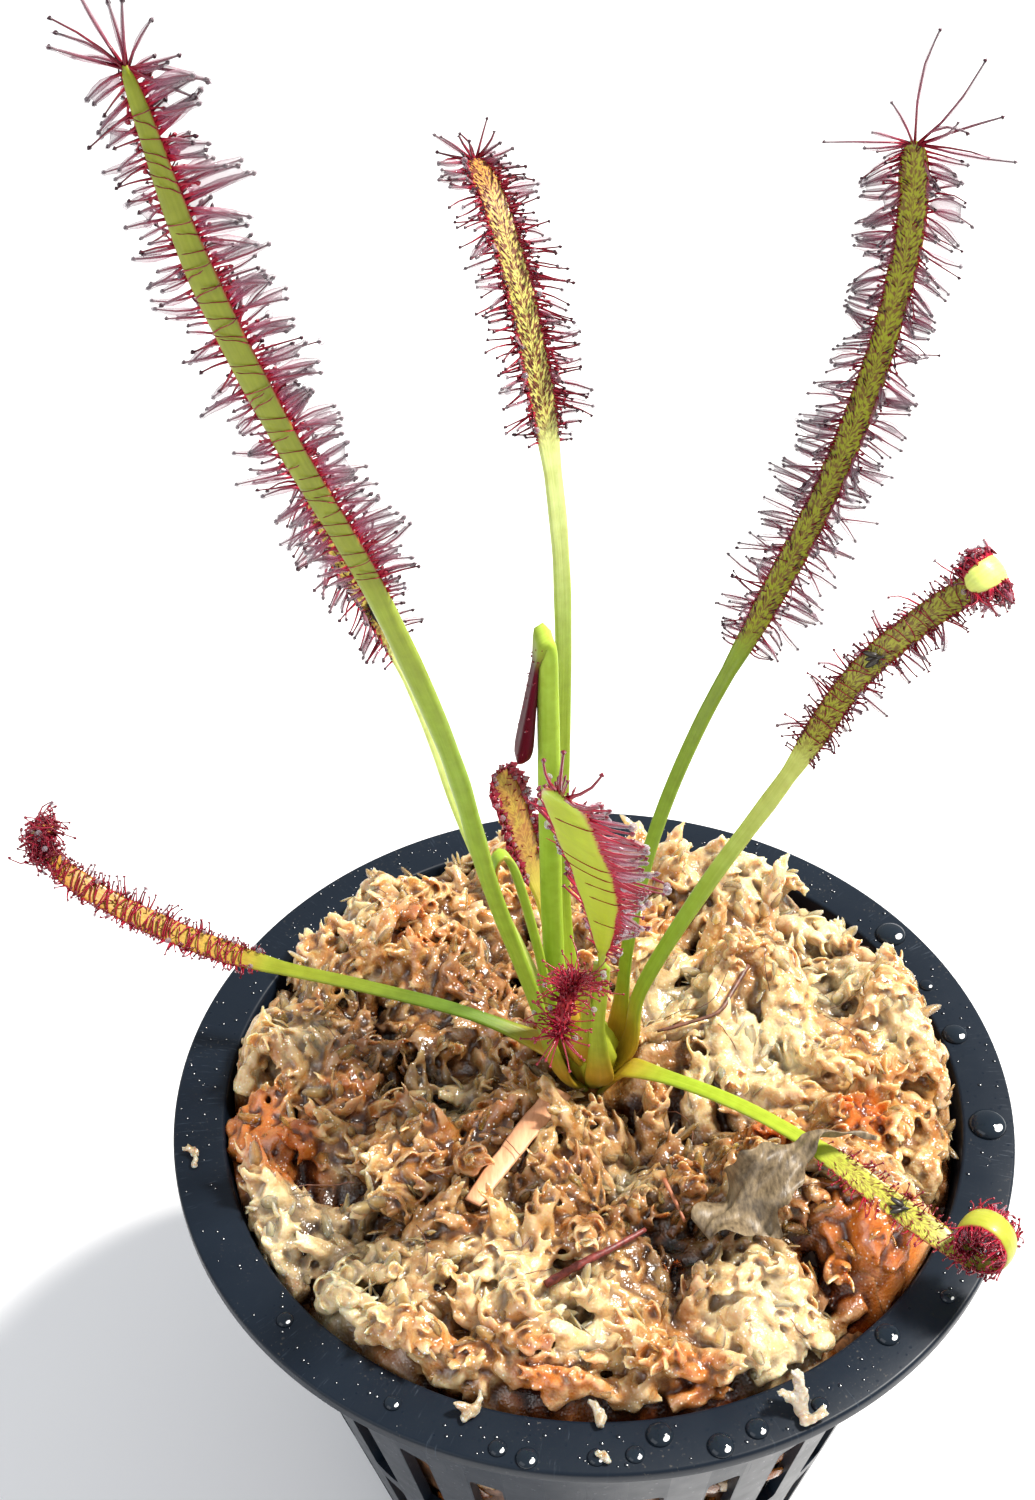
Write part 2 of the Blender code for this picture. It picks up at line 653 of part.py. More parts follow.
def cut_crown_hole(moss, cutters):
    """The plain hole that the crown's foot stands in."""
    depth = -CROWN_FOOT + GAP
    hole = bmesh.new()
    bmesh.ops.create_cone(
        hole, cap_ends=True, segments=CROWN_SIDES, radius1=CROWN_HOLE_RADIUS, radius2=CROWN_HOLE_RADIUS,
        depth=2 * depth, matrix=Matrix.Translation(CROWN))
    mesh = bpy.data.meshes.new("crown_hole")
    hole.to_mesh(mesh)
    hole.free()
    cutter = add_object("crown_hole", mesh, cutters)
    cutter.hide_render = True
    cutter.display_type = "WIRE"
    cut = moss.modifiers.new("crown_hole", "BOOLEAN")
    cut.operation = "DIFFERENCE"
    cut.object = cutter


def crown(parts):
    stock = principled("crown_stock", (0.45, 0.38, 0.08), 0.5)
    profile = [(radius * MM, height * MM) for radius, height in CROWN_PROFILE]
    profile = [(0, CROWN_TOP), *profile, (0, CROWN_FOOT)]
    item = turned("crown", profile, CROWN_SIDES, parts, stock)
    for vertex in item.data.vertices:
        vertex.co += CROWN
    smooth_shade(item)


def lifted(run):
    return [Vector((x * MM, y * MM, POT_HEIGHT + z * MM)) for x, y, z in run]


def strip(name, run, widths, thickness, collection, material, crumple=0.0):
    """A flat dead leaf or stalk laid along a run, its edges bent up and down."""
    points, _ = curve_through(lifted(run), 1.6 * MM)
    rings = []
    up = Vector((0, 0, 1))
    resting = []
    for index, point in enumerate(points):
        share = index / (len(points) - 1)
        before, after = points[max(index - 1, 0)], points[min(index + 1, len(points) - 1)]
        along = (after - before).normalized()
        across = along.cross(up).normalized()
        face = across.cross(along)
        place = share * (len(widths) - 1)
        lower = min(int(place), len(widths) - 2)
        width = between(widths[lower], widths[lower + 1], place - lower) * MM
        tilt = crumple * math.sin(1.5 * math.tau * share + 0.6)
        across = (across + face * tilt).normalized()
        face = across.cross(along)
        spot = Station(point, along, across, face, width, thickness * MM, 0, 0)
        rings.append(section(spot, 8))
        resting.append((point, width / 2, thickness / 2 * MM + abs(tilt) * width / 2))
    loft(name, rings, collection, material)
    return resting


def strand(name, run, radius, collection, material):
    """A thin round piece of litter along a run."""
    points, _ = curve_through(lifted(run), 4 * radius * MM)
    curve = bpy.data.curves.new(name, "CURVE")
    curve.dimensions = "3D"
    curve.bevel_depth = radius * MM
    curve.bevel_resolution = 1
    curve.use_fill_caps = True
    spline = curve.splines.new("POLY")
    spline.points.add(len(points) - 1)
    for target, point in zip(spline.points, points):
        target.co = (*point, 1)
    curve.materials.append(material)
    item = bpy.data.objects.new(name, curve)
    collection.objects.link(item)
    bake(item)
    return [(point, radius * MM, radius * MM) for point in points]


def litter(parts):
    """Dead pieces on the moss, and where it carries them."""
    peach = principled("dead_stalk_peach", (0.80, 0.50, 0.27), 0.6)
    grey = principled("dried_leaf_grey", (0.30, 0.25, 0.17), 0.6)
    brown = principled("fibre_brown", (0.13, 0.05, 0.03), 0.6)
    rust = principled("needle_rust", (0.40, 0.12, 0.05), 0.5)
    width, thickness = DEAD_STALK_SIZE
    resting = strip("dead_stalk", DEAD_STALK_RUN, (width, width), thickness, parts, peach)
    resting += strip(
        "dried_leaf", DRIED_LEAF_RUN, DRIED_LEAF_WIDTHS, DRIED_LEAF_THICKNESS, parts, grey,
        crumple=DRIED_LEAF_CRUMPLE)
    resting += strand("root_fibre", ROOT_FIBRE_RUN, ROOT_FIBRE_RADIUS, parts, brown)
    resting += strand("dried_twig", DRIED_TWIG_RUN, DRIED_TWIG_RADIUS, parts, brown)
    resting += strand("dried_needle", DRIED_NEEDLE_RUN, DRIED_NEEDLE_RADIUS, parts, rust)
    return resting


def main():
    clear_scene()
    parts = new_collection("potted_cape_sundew")
    cutters = new_collection("cutters")
    draw = random.Random(7)
    net_pot(parts, cutters)
    crown(parts)
    gland = principled("tentacle_crimson", (0.30, 0.02, 0.06), 0.25)
    ribs = {leaf.name: leaf_stations(leaf) for leaf in LEAVES}
    resting = litter(parts)
    overhead = []
    grown = []
    for leaf in LEAVES:
        avoid = list(grown)
        for name, places in ribs.items():
            if name != leaf.name:
                avoid += rib_points(places)
        grown += grow_leaf(leaf, ribs[leaf.name], avoid, parts, gland, draw)
        for lower, upper in zip(ribs[leaf.name], ribs[leaf.name][1:]):
            under = lower.thickness / 2 + abs(lower.across.z) * lower.width / 2
            for share in (0, 1 / 3, 2 / 3):
                overhead.append((between(lower.point, upper.point, share), lower.width / 2, under))
    moss = moss_bed(parts, resting, overhead)
    cut_crown_hole(moss, cutters)


main()
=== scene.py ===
# %% [markdown]
# # A potted sundew, dressed piece by piece
#
# The object is a black net pot of wet moss with a sundew growing in it: a rosette of long strap
# leaves, each one fringed with red tentacles that carry drops of clear glue. Its plain solids are
# loaded below as a fixed frame. They say where every leaf runs and how high the moss stands. This
# lesson replaces them with finer pieces in the same places, and gives each piece its finish.

import math

import bmesh
import bpy
import numpy as np
from mathutils import Matrix, Vector
from mathutils.bvhtree import BVHTree
from mathutils.kdtree import KDTree


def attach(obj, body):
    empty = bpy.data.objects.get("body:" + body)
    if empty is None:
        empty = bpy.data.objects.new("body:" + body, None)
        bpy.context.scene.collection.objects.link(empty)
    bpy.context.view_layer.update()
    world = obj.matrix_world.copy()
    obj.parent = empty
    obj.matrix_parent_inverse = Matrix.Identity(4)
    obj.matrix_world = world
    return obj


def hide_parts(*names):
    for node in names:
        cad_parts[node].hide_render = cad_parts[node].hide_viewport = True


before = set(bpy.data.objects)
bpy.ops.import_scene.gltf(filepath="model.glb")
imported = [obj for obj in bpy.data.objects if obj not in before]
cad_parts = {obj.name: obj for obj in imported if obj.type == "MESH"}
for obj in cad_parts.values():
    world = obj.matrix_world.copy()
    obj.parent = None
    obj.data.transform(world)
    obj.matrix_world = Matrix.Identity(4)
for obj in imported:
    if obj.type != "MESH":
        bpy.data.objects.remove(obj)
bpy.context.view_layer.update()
MM = 0.001
LIP = 68 * MM  # height of the pot's lip, from which the plant is measured
draw = np.random.default_rng(12)

# %% [markdown]
# ## The camera
# The picture was taken from above the front of the pot, looking down at about forty degrees. A
# camera could be placed by eye, but then nothing would line up. Here its place was worked out once
# from the two edges of the round lip, and is written as a distance along its line of sight and two
# small steps sideways. The lens is the picture's focal length in pixels, turned into millimetres.

# %% Camera
LOOK_DOWN = math.radians(39.806)
TILT = math.radians(1.366)
DISTANCE = 217.346 * MM
STEP_RIGHT, STEP_UP = 7.494 * MM, -38.854 * MM
FOCAL_PIXELS, PICTURE_HEIGHT, SENSOR = 1900, 1500, 36
back = Vector((0, -math.cos(LOOK_DOWN), math.sin(LOOK_DOWN)))
right = Vector((1, 0, 0))
up = Vector((0, math.sin(LOOK_DOWN), math.cos(LOOK_DOWN)))
eye = Vector((0, 0, LIP)) + back * DISTANCE - right * STEP_RIGHT - up * STEP_UP
lens = bpy.data.cameras.new("camera")
lens.sensor_width = SENSOR
lens.lens = FOCAL_PIXELS / PICTURE_HEIGHT * SENSOR
lens.clip_start = 5 * MM
camera = bpy.data.objects.new("camera", lens)
level = right * math.cos(TILT) - up * math.sin(TILT)
turned_to_pot = Matrix((level, back.cross(level), back)).transposed().to_4x4()
camera.matrix_world = Matrix.Translation(eye) @ turned_to_pot
bpy.context.scene.collection.objects.link(camera)
bpy.context.scene.camera = camera
print("camera at", [round(value / MM) for value in eye], "mm")

# %% [markdown]
# ## Light
# The plant is lit from the right and a little behind, high up, so wet things glint and the leaves
# throw shadows to the left. A sun lamp would give shadows as hard as noon. One bright square lamp
# of the size of a small softbox keeps them readable and soft at the edge, a broad dim one fills
# from the front left, and a pale sky lifts the rest.

# %% Lamps and sky


def lamp(name, place, aim, size, watts, color):
    """A square lamp at a place, turned towards a point."""
    light = bpy.data.lights.new(name, "AREA")
    light.size = size
    light.energy = watts
    light.color = color
    item = bpy.data.objects.new(name, light)
    item.location = place
    item.rotation_euler = (Vector(aim) - Vector(place)).to_track_quat("-Z", "Y").to_euler()
    bpy.context.scene.collection.objects.link(item)


PLANT = (0, 0, 0.08)
lamp("key", (0.42, 0.10, 0.72), PLANT, 0.10, 13.5, (1, 0.97, 0.92))
lamp("fill", (-0.7, -0.6, 0.6), PLANT, 0.8, 4.5, (0.93, 0.96, 1))
sky = bpy.data.worlds.new("pale_sky")
sky.use_nodes = True
sky.node_tree.nodes["Background"].inputs["Color"].default_value = (0.95, 0.97, 1, 1)
sky.node_tree.nodes["Background"].inputs["Strength"].default_value = 0.62
bpy.context.scene.world = sky
bpy.context.scene.view_settings.view_transform = "Standard"

# %% [markdown]
# ## Finishes as sums
# A finish in Blender is a tree of nodes. Placing nodes one by one hides what the tree works out, so
# a small class wraps a socket and lets Python's own signs add the Math nodes: `1 - dirt * 0.5` is
# two nodes. Colours and places would turn grey in a Math node, so they have methods of their own
# that use Mix and Vector Math.

# %% Sockets that can be added and multiplied


class Wire:
    """An output of a node tree. Plus, minus, times and power on it add Math nodes."""

    def __init__(self, finish, socket):
        self.finish = finish
        self.socket = socket

    def maths(self, operation, first, second=0.0):
        return self.finish.node("Math", {"operation": operation}, {0: first, 1: second})

    def __add__(self, other):
        return self.maths("ADD", self, other)

    def __sub__(self, other):
        return self.maths("SUBTRACT", self, other)

    def __rsub__(self, other):
        return self.maths("SUBTRACT", other, self)

    def __mul__(self, other):
        return self.maths("MULTIPLY", self, other)

    def __pow__(self, other):
        return self.maths("POWER", self, other)

    __radd__ = __add__
    __rmul__ = __mul__

    def within(self, low, high):
        """0 below low, 1 above high, and a soft slope between."""
        return self.finish.node(
            "MapRange", {"interpolation_type": "SMOOTHSTEP"},
            {"Value": self, "From Min": low, "From Max": high})

    def least(self, other):
        return self.maths("MINIMUM", self, other)

    def scaled(self, x, y, z):
        """A place stretched by three numbers."""
        return self.finish.node("VectorMath", {"operation": "MULTIPLY"}, {0: self, 1: (x, y, z)})


class Finish:
    """A material being made, with the one shader that everything feeds."""

    def __init__(self, name, **constants):
        self.material = bpy.data.materials.new(name)
        self.material.use_nodes = True
        self.tree = self.material.node_tree
        self.shader = self.tree.nodes["Principled BSDF"]
        for socket, value in constants.items():
            self.feed(self.shader.inputs[socket.replace("_", " ")], value)

    def feed(self, socket, value):
        if isinstance(value, Wire):
            self.tree.links.new(value.socket, socket)
        elif socket.type == "RGBA":
            socket.default_value = (*value[:3], 1)
        else:
            socket.default_value = value

    def node(self, kind, settings=None, inputs=None, output=0):
        """Any node: its settings first, then a value or a wire for each socket that matters. A
        ramp's stops are given from low to high, because the ramp doesn't sort them."""
        made = self.tree.nodes.new("ShaderNode" + kind)
        for name, value in (settings or {}).items():
            if name == "stops":
                ramp = made.color_ramp.elements
                while len(ramp) < len(value):
                    ramp.new(1)
                for element, (place, color) in zip(ramp, value):
                    element.position = place
                    element.color = (*color, 1)
            else:
                setattr(made, name, value)
        for name, value in (inputs or {}).items():
            self.feed(made.inputs[name], value)
        return Wire(self, made.outputs[output])

    def place(self):
        """Where a point lies, in millimetres of the object's own space."""
        here = self.node("TexCoord", output="Object")
        return here.scaled(1000, 1000, 1000)

    def mark(self, name):
        """A number that the mesh carries on its points."""
        return self.node("Attribute", {"attribute_name": name}, output="Fac")

    def clouds(self, at, size, detail=2.0, rough=0.5):
        """Soft noise from 0 to 1, its lumps about size across."""
        return self.node("TexNoise", {}, {"Vector": at, "Scale": 1 / size, "Detail": detail,
                                          "Roughness": rough})

    def cells(self, at, size):
        """Distance to the middle of the nearest cell."""
        return self.node("TexVoronoi", {}, {"Vector": at, "Scale": 1 / size}, output="Distance")

    def mix(self, share, first, second):
        """One colour into another."""
        return self.node("Mix", {"data_type": "RGBA"}, {0: share, 6: first, 7: second}, output=2)

    def tint(self, share, color, by):
        """A colour multiplied by another."""
        return self.node("Mix", {"data_type": "RGBA", "blend_type": "MULTIPLY"},
                         {0: share, 6: color, 7: by}, output=2)

    def ramp(self, value, *stops):
        """Colours along a number, from (place, colour) stops."""
        return self.node("ValToRGB", {"stops": stops}, {"Fac": value})

    def show(self, **sockets):
        """Feed the shader. Height makes a bump of a strength."""
        if "height" in sockets:
            sockets["Normal"] = self.node("Bump", {}, {
                "Height": sockets.pop("height"), "Strength": sockets.pop("strength"),
                "Distance": 0.1 * MM})
        for name, value in sockets.items():
            self.feed(self.shader.inputs[name.replace("_", " ")], value)


print("finish helpers ready")

# %% [markdown]
# ## Skins
# Almost everything here is long and thin: leaves, tentacles, scale leaves of the moss, fibres. Each
# could be a curve with a bevel, but there are thousands. So one helper takes rings of points, any
# number of shapes at once, and skins each run of rings into a closed body. Numbers can be marked on
# the points, such as how far along a tentacle they lie, for the finishes to read.

# %% Closed skins from rings of points


def unit(vectors):
    return vectors / np.maximum(np.linalg.norm(vectors, axis=-1, keepdims=True), 1e-12)


BODY, HAIR, GLUE = 0, 1, 2  # which of a piece's finishes a skin has


class Heap:
    """Closed skins gathered into one mesh."""

    def __init__(self):
        self.points, self.faces, self.kinds, self.marks = [], [], [], {}
        self.count = 0

    def add(self, rings, kind=BODY, **marks):
        """rings is (shapes, stations, sides, 3). A mark is one number, or one for each shape,
        station or side."""
        shapes, stations, sides = rings.shape[:3]
        index = np.arange(shapes * stations * sides).reshape(shapes, stations, sides) + self.count
        after = np.roll(index, -1, axis=2)
        quads = np.stack([index[:, :-1], after[:, :-1], after[:, 1:], index[:, 1:]], -1).reshape(-1, 4)
        ends = np.concatenate([index[:, 0, ::-1], index[:, -1]])
        for faces in (quads, ends):
            self.faces.append(faces)
            self.kinds.append(np.full(len(faces), kind))
        self.points.append(rings.reshape(-1, 3))
        for name, value in marks.items():
            value = np.asarray(value, float)
            value = value.reshape(value.shape + (1,) * (3 - value.ndim))
            spread = np.broadcast_to(value, (shapes, stations, sides)).ravel()
            self.marks.setdefault(name, []).append((self.count, spread))
        self.count += shapes * stations * sides

    def build(self, name, finishes):
        mesh = bpy.data.meshes.new(name)
        mesh.vertices.add(self.count)
        mesh.vertices.foreach_set("co", np.concatenate(self.points).astype(np.float32).ravel())
        sizes = np.concatenate([np.full(len(faces), faces.shape[1]) for faces in self.faces])
        corners = np.concatenate([faces.ravel() for faces in self.faces])
        mesh.loops.add(len(corners))
        mesh.loops.foreach_set("vertex_index", corners.astype(np.int32))
        mesh.polygons.add(len(sizes))
        starts = np.concatenate([[0], np.cumsum(sizes)[:-1]])
        mesh.polygons.foreach_set("loop_start", starts.astype(np.int32))
        mesh.polygons.foreach_set("material_index", np.concatenate(self.kinds).astype(np.int32))
        for mark, parts in self.marks.items():
            values = np.zeros(self.count, np.float32)
            for start, spread in parts:
                values[start:start + len(spread)] = spread
            mesh.attributes.new(mark, "FLOAT", "POINT").data.foreach_set("value", values)
        for finish in finishes:
            mesh.materials.append(finish.material)
        mesh.update(calc_edges=True)
        mesh.validate()
        mesh.shade_smooth()
        return bpy.data.objects.new(name, mesh)


def skinned(name, finish, rings, **marks):
    """A piece of one finish from one set of rings."""
    heap = Heap()
    heap.add(rings, **marks)
    return heap.build(name, [finish])


def settle(item, slot, *nodes):
    """Put a finished piece into the scene: it rides with the pot and may stand for solids."""
    if not item.users_collection:
        bpy.context.scene.collection.objects.link(item)
    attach(item, "root")
    if nodes:
        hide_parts(*nodes)
    item.data.calc_loop_triangles()
    print(f"{item.name}: {len(item.data.loop_triangles)} triangles")


def tubes(centres, radii, sides):
    """Rings round many centre lines at once: centres is (shapes, stations, 3), and the radii are
    one number, a row for the stations, or a row for each shape."""
    radii = np.broadcast_to(radii, centres.shape[:2])
    along = unit(np.gradient(centres, axis=1))
    chord = unit(centres[:, -1] - centres[:, 0])
    helper = np.where(np.abs(chord[:, 2:]) < 0.8, [[0.0, 0, 1]], [[1.0, 0, 0]])
    across = unit(np.cross(helper[:, None], along))
    over = np.cross(along, across)
    angle = math.tau * np.arange(sides) / sides
    ring = np.cos(angle)[:, None] * across[:, :, None] + np.sin(angle)[:, None] * over[:, :, None]
    return centres[:, :, None] + radii[:, :, None, None] * ring


print("skin helpers ready")

# %% [markdown]
# ## The floor
# A pale, slightly uneven sheet. It only has to catch the shadow, so it is one large face, and its
# finish has a trace of cloud so that it doesn't look like paper from a printer.

# %% Floor
floor_finish = Finish("pale_floor", Roughness=0.75)
grey = floor_finish.clouds(floor_finish.place(), 60)
floor_finish.show(Base_Color=floor_finish.mix(grey, (0.92, 0.92, 0.93), (0.95, 0.95, 0.95)))
sheet = bmesh.new()
bmesh.ops.create_grid(sheet, x_segments=1, y_segments=1, size=3)
floor_mesh = bpy.data.meshes.new("floor")
sheet.to_mesh(floor_mesh)
sheet.free()
floor_mesh.materials.append(floor_finish.material)
floor = bpy.data.objects.new("floor", floor_mesh)
floor.location.z = -0.02 * MM
bpy.context.scene.collection.objects.link(floor)
print("floor laid")

# %% [markdown]
# ## The net pot
# A net pot is moulded in one shot: a flat lip, a tapered wall, and slots that let roots and water
# through. Turning a profile round the axis gives the wall and the lip, and one Boolean cuts all
# slots. The solid has the same sizes with fewer sides. Here the lip gets its small rounded edges and
# enough sides to look round from close by.

# %% Pot
LIP_RADIUS, MOUTH, FOOT, WALL = 47.5 * MM, 41.7 * MM, 29 * MM, 1.5 * MM
FLOOR_TOP, LIP_UNDERSIDE, BAND_TOP = 1.6 * MM, LIP - 1.6 * MM, LIP - 2.4 * MM
POT_SIDES = 224


def wall_radius(height):
    """Outer radius of the wall at a height."""
    return FOOT + (MOUTH + WALL - FOOT) * height / LIP


def turned(name, profile, sides):
    """A body of revolution from (radius, height) pairs."""
    outline = bmesh.new()
    points = [outline.verts.new((radius, 0, height)) for radius, height in profile]
    for first, second in zip(points, points[1:]):
        outline.edges.new((first, second))
    mesh = bpy.data.meshes.new(name)
    outline.to_mesh(mesh)
    outline.free()
    item = bpy.data.objects.new(name, mesh)
    bpy.context.scene.collection.objects.link(item)
    screw = item.modifiers.new("turn", "SCREW")
    screw.steps = screw.render_steps = sides
    screw.use_merge_vertices = True
    screw.merge_threshold = 0.01 * MM
    return item


def applied(item):
    """Turn an object's modifiers into its mesh."""
    worked_out = item.evaluated_get(bpy.context.evaluated_depsgraph_get())
    mesh = bpy.data.meshes.new_from_object(worked_out)
    item.modifiers.clear()
    item.data = mesh
    return item


def corner(radius, height, size, start):
    """A quarter round of a profile in four steps, clockwise from an angle."""
    angles = [math.radians(start - 90 * step / 4) for step in range(5)]
    return [(radius + size * math.cos(angle), height + size * math.sin(angle)) for angle in angles]


inner_round, outer_round, under_round = 0.45 * MM, 0.4 * MM, 0.3 * MM
neck = wall_radius(BAND_TOP)
pot = turned("pot", [
    (0, FLOOR_TOP),
    (wall_radius(FLOOR_TOP) - WALL, FLOOR_TOP),
    (MOUTH - 0.05 * MM, LIP - 1 * MM),
    *corner(MOUTH + inner_round, LIP - inner_round, inner_round, 180),
    *corner(LIP_RADIUS - outer_round, LIP - outer_round, outer_round, 90),
    *corner(LIP_RADIUS - under_round, LIP_UNDERSIDE + under_round, under_round, 0),
    (neck + 0.6 * MM, LIP_UNDERSIDE),
    (neck + 0.15 * MM, LIP - 1.85 * MM),
    (neck, BAND_TOP),
    (FOOT, 0.4 * MM),
    (FOOT - 0.4 * MM, 0),
    (0, 0),
], POT_SIDES)
print("pot turned in", POT_SIDES, "steps")

# %% [markdown]
# ### Cutting the slots
# Two rows of upright slots go round the wall and ten short ones round the floor. Each is a box,
# swung to its place. The long edges of the boxes are rounded, as a mould would have them. The
# Boolean then takes all of them away in one go.

# %% Slots
SLOTS, FLOOR_SLOTS = 28, 10
SLOT_ROWS = ((8 * MM, 26 * MM), (29 * MM, 47 * MM))
slots = bmesh.new()


def add_slot(angle, radius, height, size):
    """A box to cut with, swung round the pot's axis."""
    place = Matrix.Rotation(angle, 4, "Z") @ Matrix.Translation((radius, 0, height))
    bmesh.ops.create_cube(slots, size=1, matrix=place @ Matrix.Diagonal((*size, 1)))


for low, high in SLOT_ROWS:
    middle = (low + high) / 2
    width = 0.45 * math.tau * wall_radius(middle) / SLOTS
    for index in range(SLOTS):
        add_slot(math.tau * (index + 0.5) / SLOTS, wall_radius(middle), middle,
                 (14 * MM, width, high - low))
for index in range(FLOOR_SLOTS):
    add_slot(math.tau * index / FLOOR_SLOTS, 17 * MM, 0.8 * MM, (10 * MM, 3 * MM, 5 * MM))
radial = [edge for edge in slots.edges
          if abs((edge.verts[0].co - edge.verts[1].co).xy.length) > 9 * MM]
bmesh.ops.bevel(slots, geom=radial, offset=0.7 * MM, segments=3, affect="EDGES", profile=0.5)
slot_mesh = bpy.data.meshes.new("slots")
slots.to_mesh(slot_mesh)
slots.free()
cutter = bpy.data.objects.new("slots", slot_mesh)
bpy.context.scene.collection.objects.link(cutter)
cut = pot.modifiers.new("slots", "BOOLEAN")
cut.operation = "DIFFERENCE"
cut.object = cutter
cut.solver = "MANIFOLD"
applied(pot)
bpy.data.objects.remove(cutter)
pot.data.materials.clear()
pot.data.shade_smooth()
pot.data.set_sharp_from_angle(angle=math.radians(40))
print("slots cut:", SLOTS * len(SLOT_ROWS), "in the wall,", FLOOR_SLOTS, "in the floor")

# %% [markdown]
# ### Pot plastic
# The pot is black polypropylene with a bluish cast, satin where it was moulded and finely scratched
# where fingers and other pots rubbed it. The scratches on the lip run outwards from the middle. To
# draw lines that run outwards anywhere on a ring, the noise reads the angle round the pot instead
# of the place. A thin film of dried water spots makes the gloss patchy.

# %% Pot plastic
plastic = Finish("pot_plastic", IOR=1.49, Specular_IOR_Level=0.19)
here = plastic.place()
split = plastic.node("SeparateXYZ", {}, {"Vector": here})
x, y, z = (Wire(plastic, split.socket.node.outputs[axis]) for axis in "XYZ")
turn = split.maths("ARCTAN2", y, x)
reach = (x * x + y * y) ** 0.5
polar = plastic.node("CombineXYZ", {}, {"X": turn * 190, "Y": reach * 0.35, "Z": z * 0.2})
scratches = plastic.clouds(polar, 1, detail=3, rough=0.6).within(0.60, 0.74)
rubbed = plastic.clouds(here, 9, detail=3).within(0.42, 0.66)
spots = 1 - plastic.cells(here, 1.1).within(0.10, 0.22)
grains = plastic.clouds(here, 0.35, detail=3).within(0.62, 0.72)
dust = grains * plastic.clouds(here, 6).within(0.5, 0.7)
worn = scratches * rubbed
base = plastic.mix(plastic.clouds(here, 14), (0.0042, 0.0075, 0.0135), (0.0065, 0.0120, 0.021))
base = plastic.mix(worn * 0.30, base, (0.08, 0.105, 0.14))
base = plastic.mix(dust * 0.22, base, (0.22, 0.19, 0.15))
plastic.show(
    Base_Color=base,
    Roughness=0.30 + plastic.clouds(here, 3) * 0.16 + worn * 0.12 + dust * 0.2 - spots * 0.10,
    height=plastic.clouds(here, 0.5) * 0.25 - worn * 0.5 + spots * 0.15, strength=0.25)
pot.data.materials.append(plastic.material)
settle(pot, "pot_plastic", "net_pot")

# %% [markdown]
# ## How high the moss stands
# The moss solid is a coarse bed of peaks. Everything that lies on the moss was placed against it,
# so the fine moss has to follow it. Dropping a ray for every leaflet would be slow. One grid of
# heights, read once and then blended between its points, answers thousands of questions at once.

# %% Height of the bed
GRID = np.linspace(-42 * MM, 42 * MM, 141)
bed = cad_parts["moss_bed"].data
bed_tree = BVHTree.FromPolygons([v.co for v in bed.vertices], [p.vertices for p in bed.polygons])
bed_height = np.full((len(GRID), len(GRID)), LIP - 1 * MM)
for row, px in enumerate(GRID):
    for column, py in enumerate(GRID):
        hit = bed_tree.ray_cast(Vector((px, py, 120 * MM)), Vector((0, 0, -1)))[0]
        if hit is not None and hit.z > LIP - 3 * MM:
            bed_height[row, column] = hit.z


def blurred(field, times):
    """A field with each point moved towards its neighbours, several times."""
    for _ in range(times):
        wide = np.pad(field, 1, mode="edge")
        field = (wide[:-2, 1:-1] + wide[2:, 1:-1] + wide[1:-1, :-2] + wide[1:-1, 2:]
                 + 2 * field) / 6
    return field


soft_height = blurred(bed_height, 10)


def height_at(places, field=soft_height):
    """Heights over (n, 2) places, blended between the grid's points."""
    step = GRID[1] - GRID[0]
    spot = np.clip((np.asarray(places) - GRID[0]) / step, 0, len(GRID) - 1.001)
    low = spot.astype(int)
    part = spot - low
    i, j = low[..., 0], low[..., 1]
    u, v = part[..., 0], part[..., 1]
    return (field[i, j] * (1 - u) * (1 - v) + field[i + 1, j] * u * (1 - v)
            + field[i, j + 1] * (1 - u) * v + field[i + 1, j + 1] * u * v)


print("moss stands from", round((soft_height.min() - LIP) / MM, 1), "to",
      round((soft_height.max() - LIP) / MM, 1), "mm over the lip")

# %% [markdown]
# ## The leaves, as plans
# A leaf is a stalk that leaves the stock, and a blade that carries on from it. Each one is written
# as a few knots: how far out from the stock and how high over the lip its rib passes, in the plane
# in which it leans. The solids were made from the same numbers, so the fine leaves land on them.

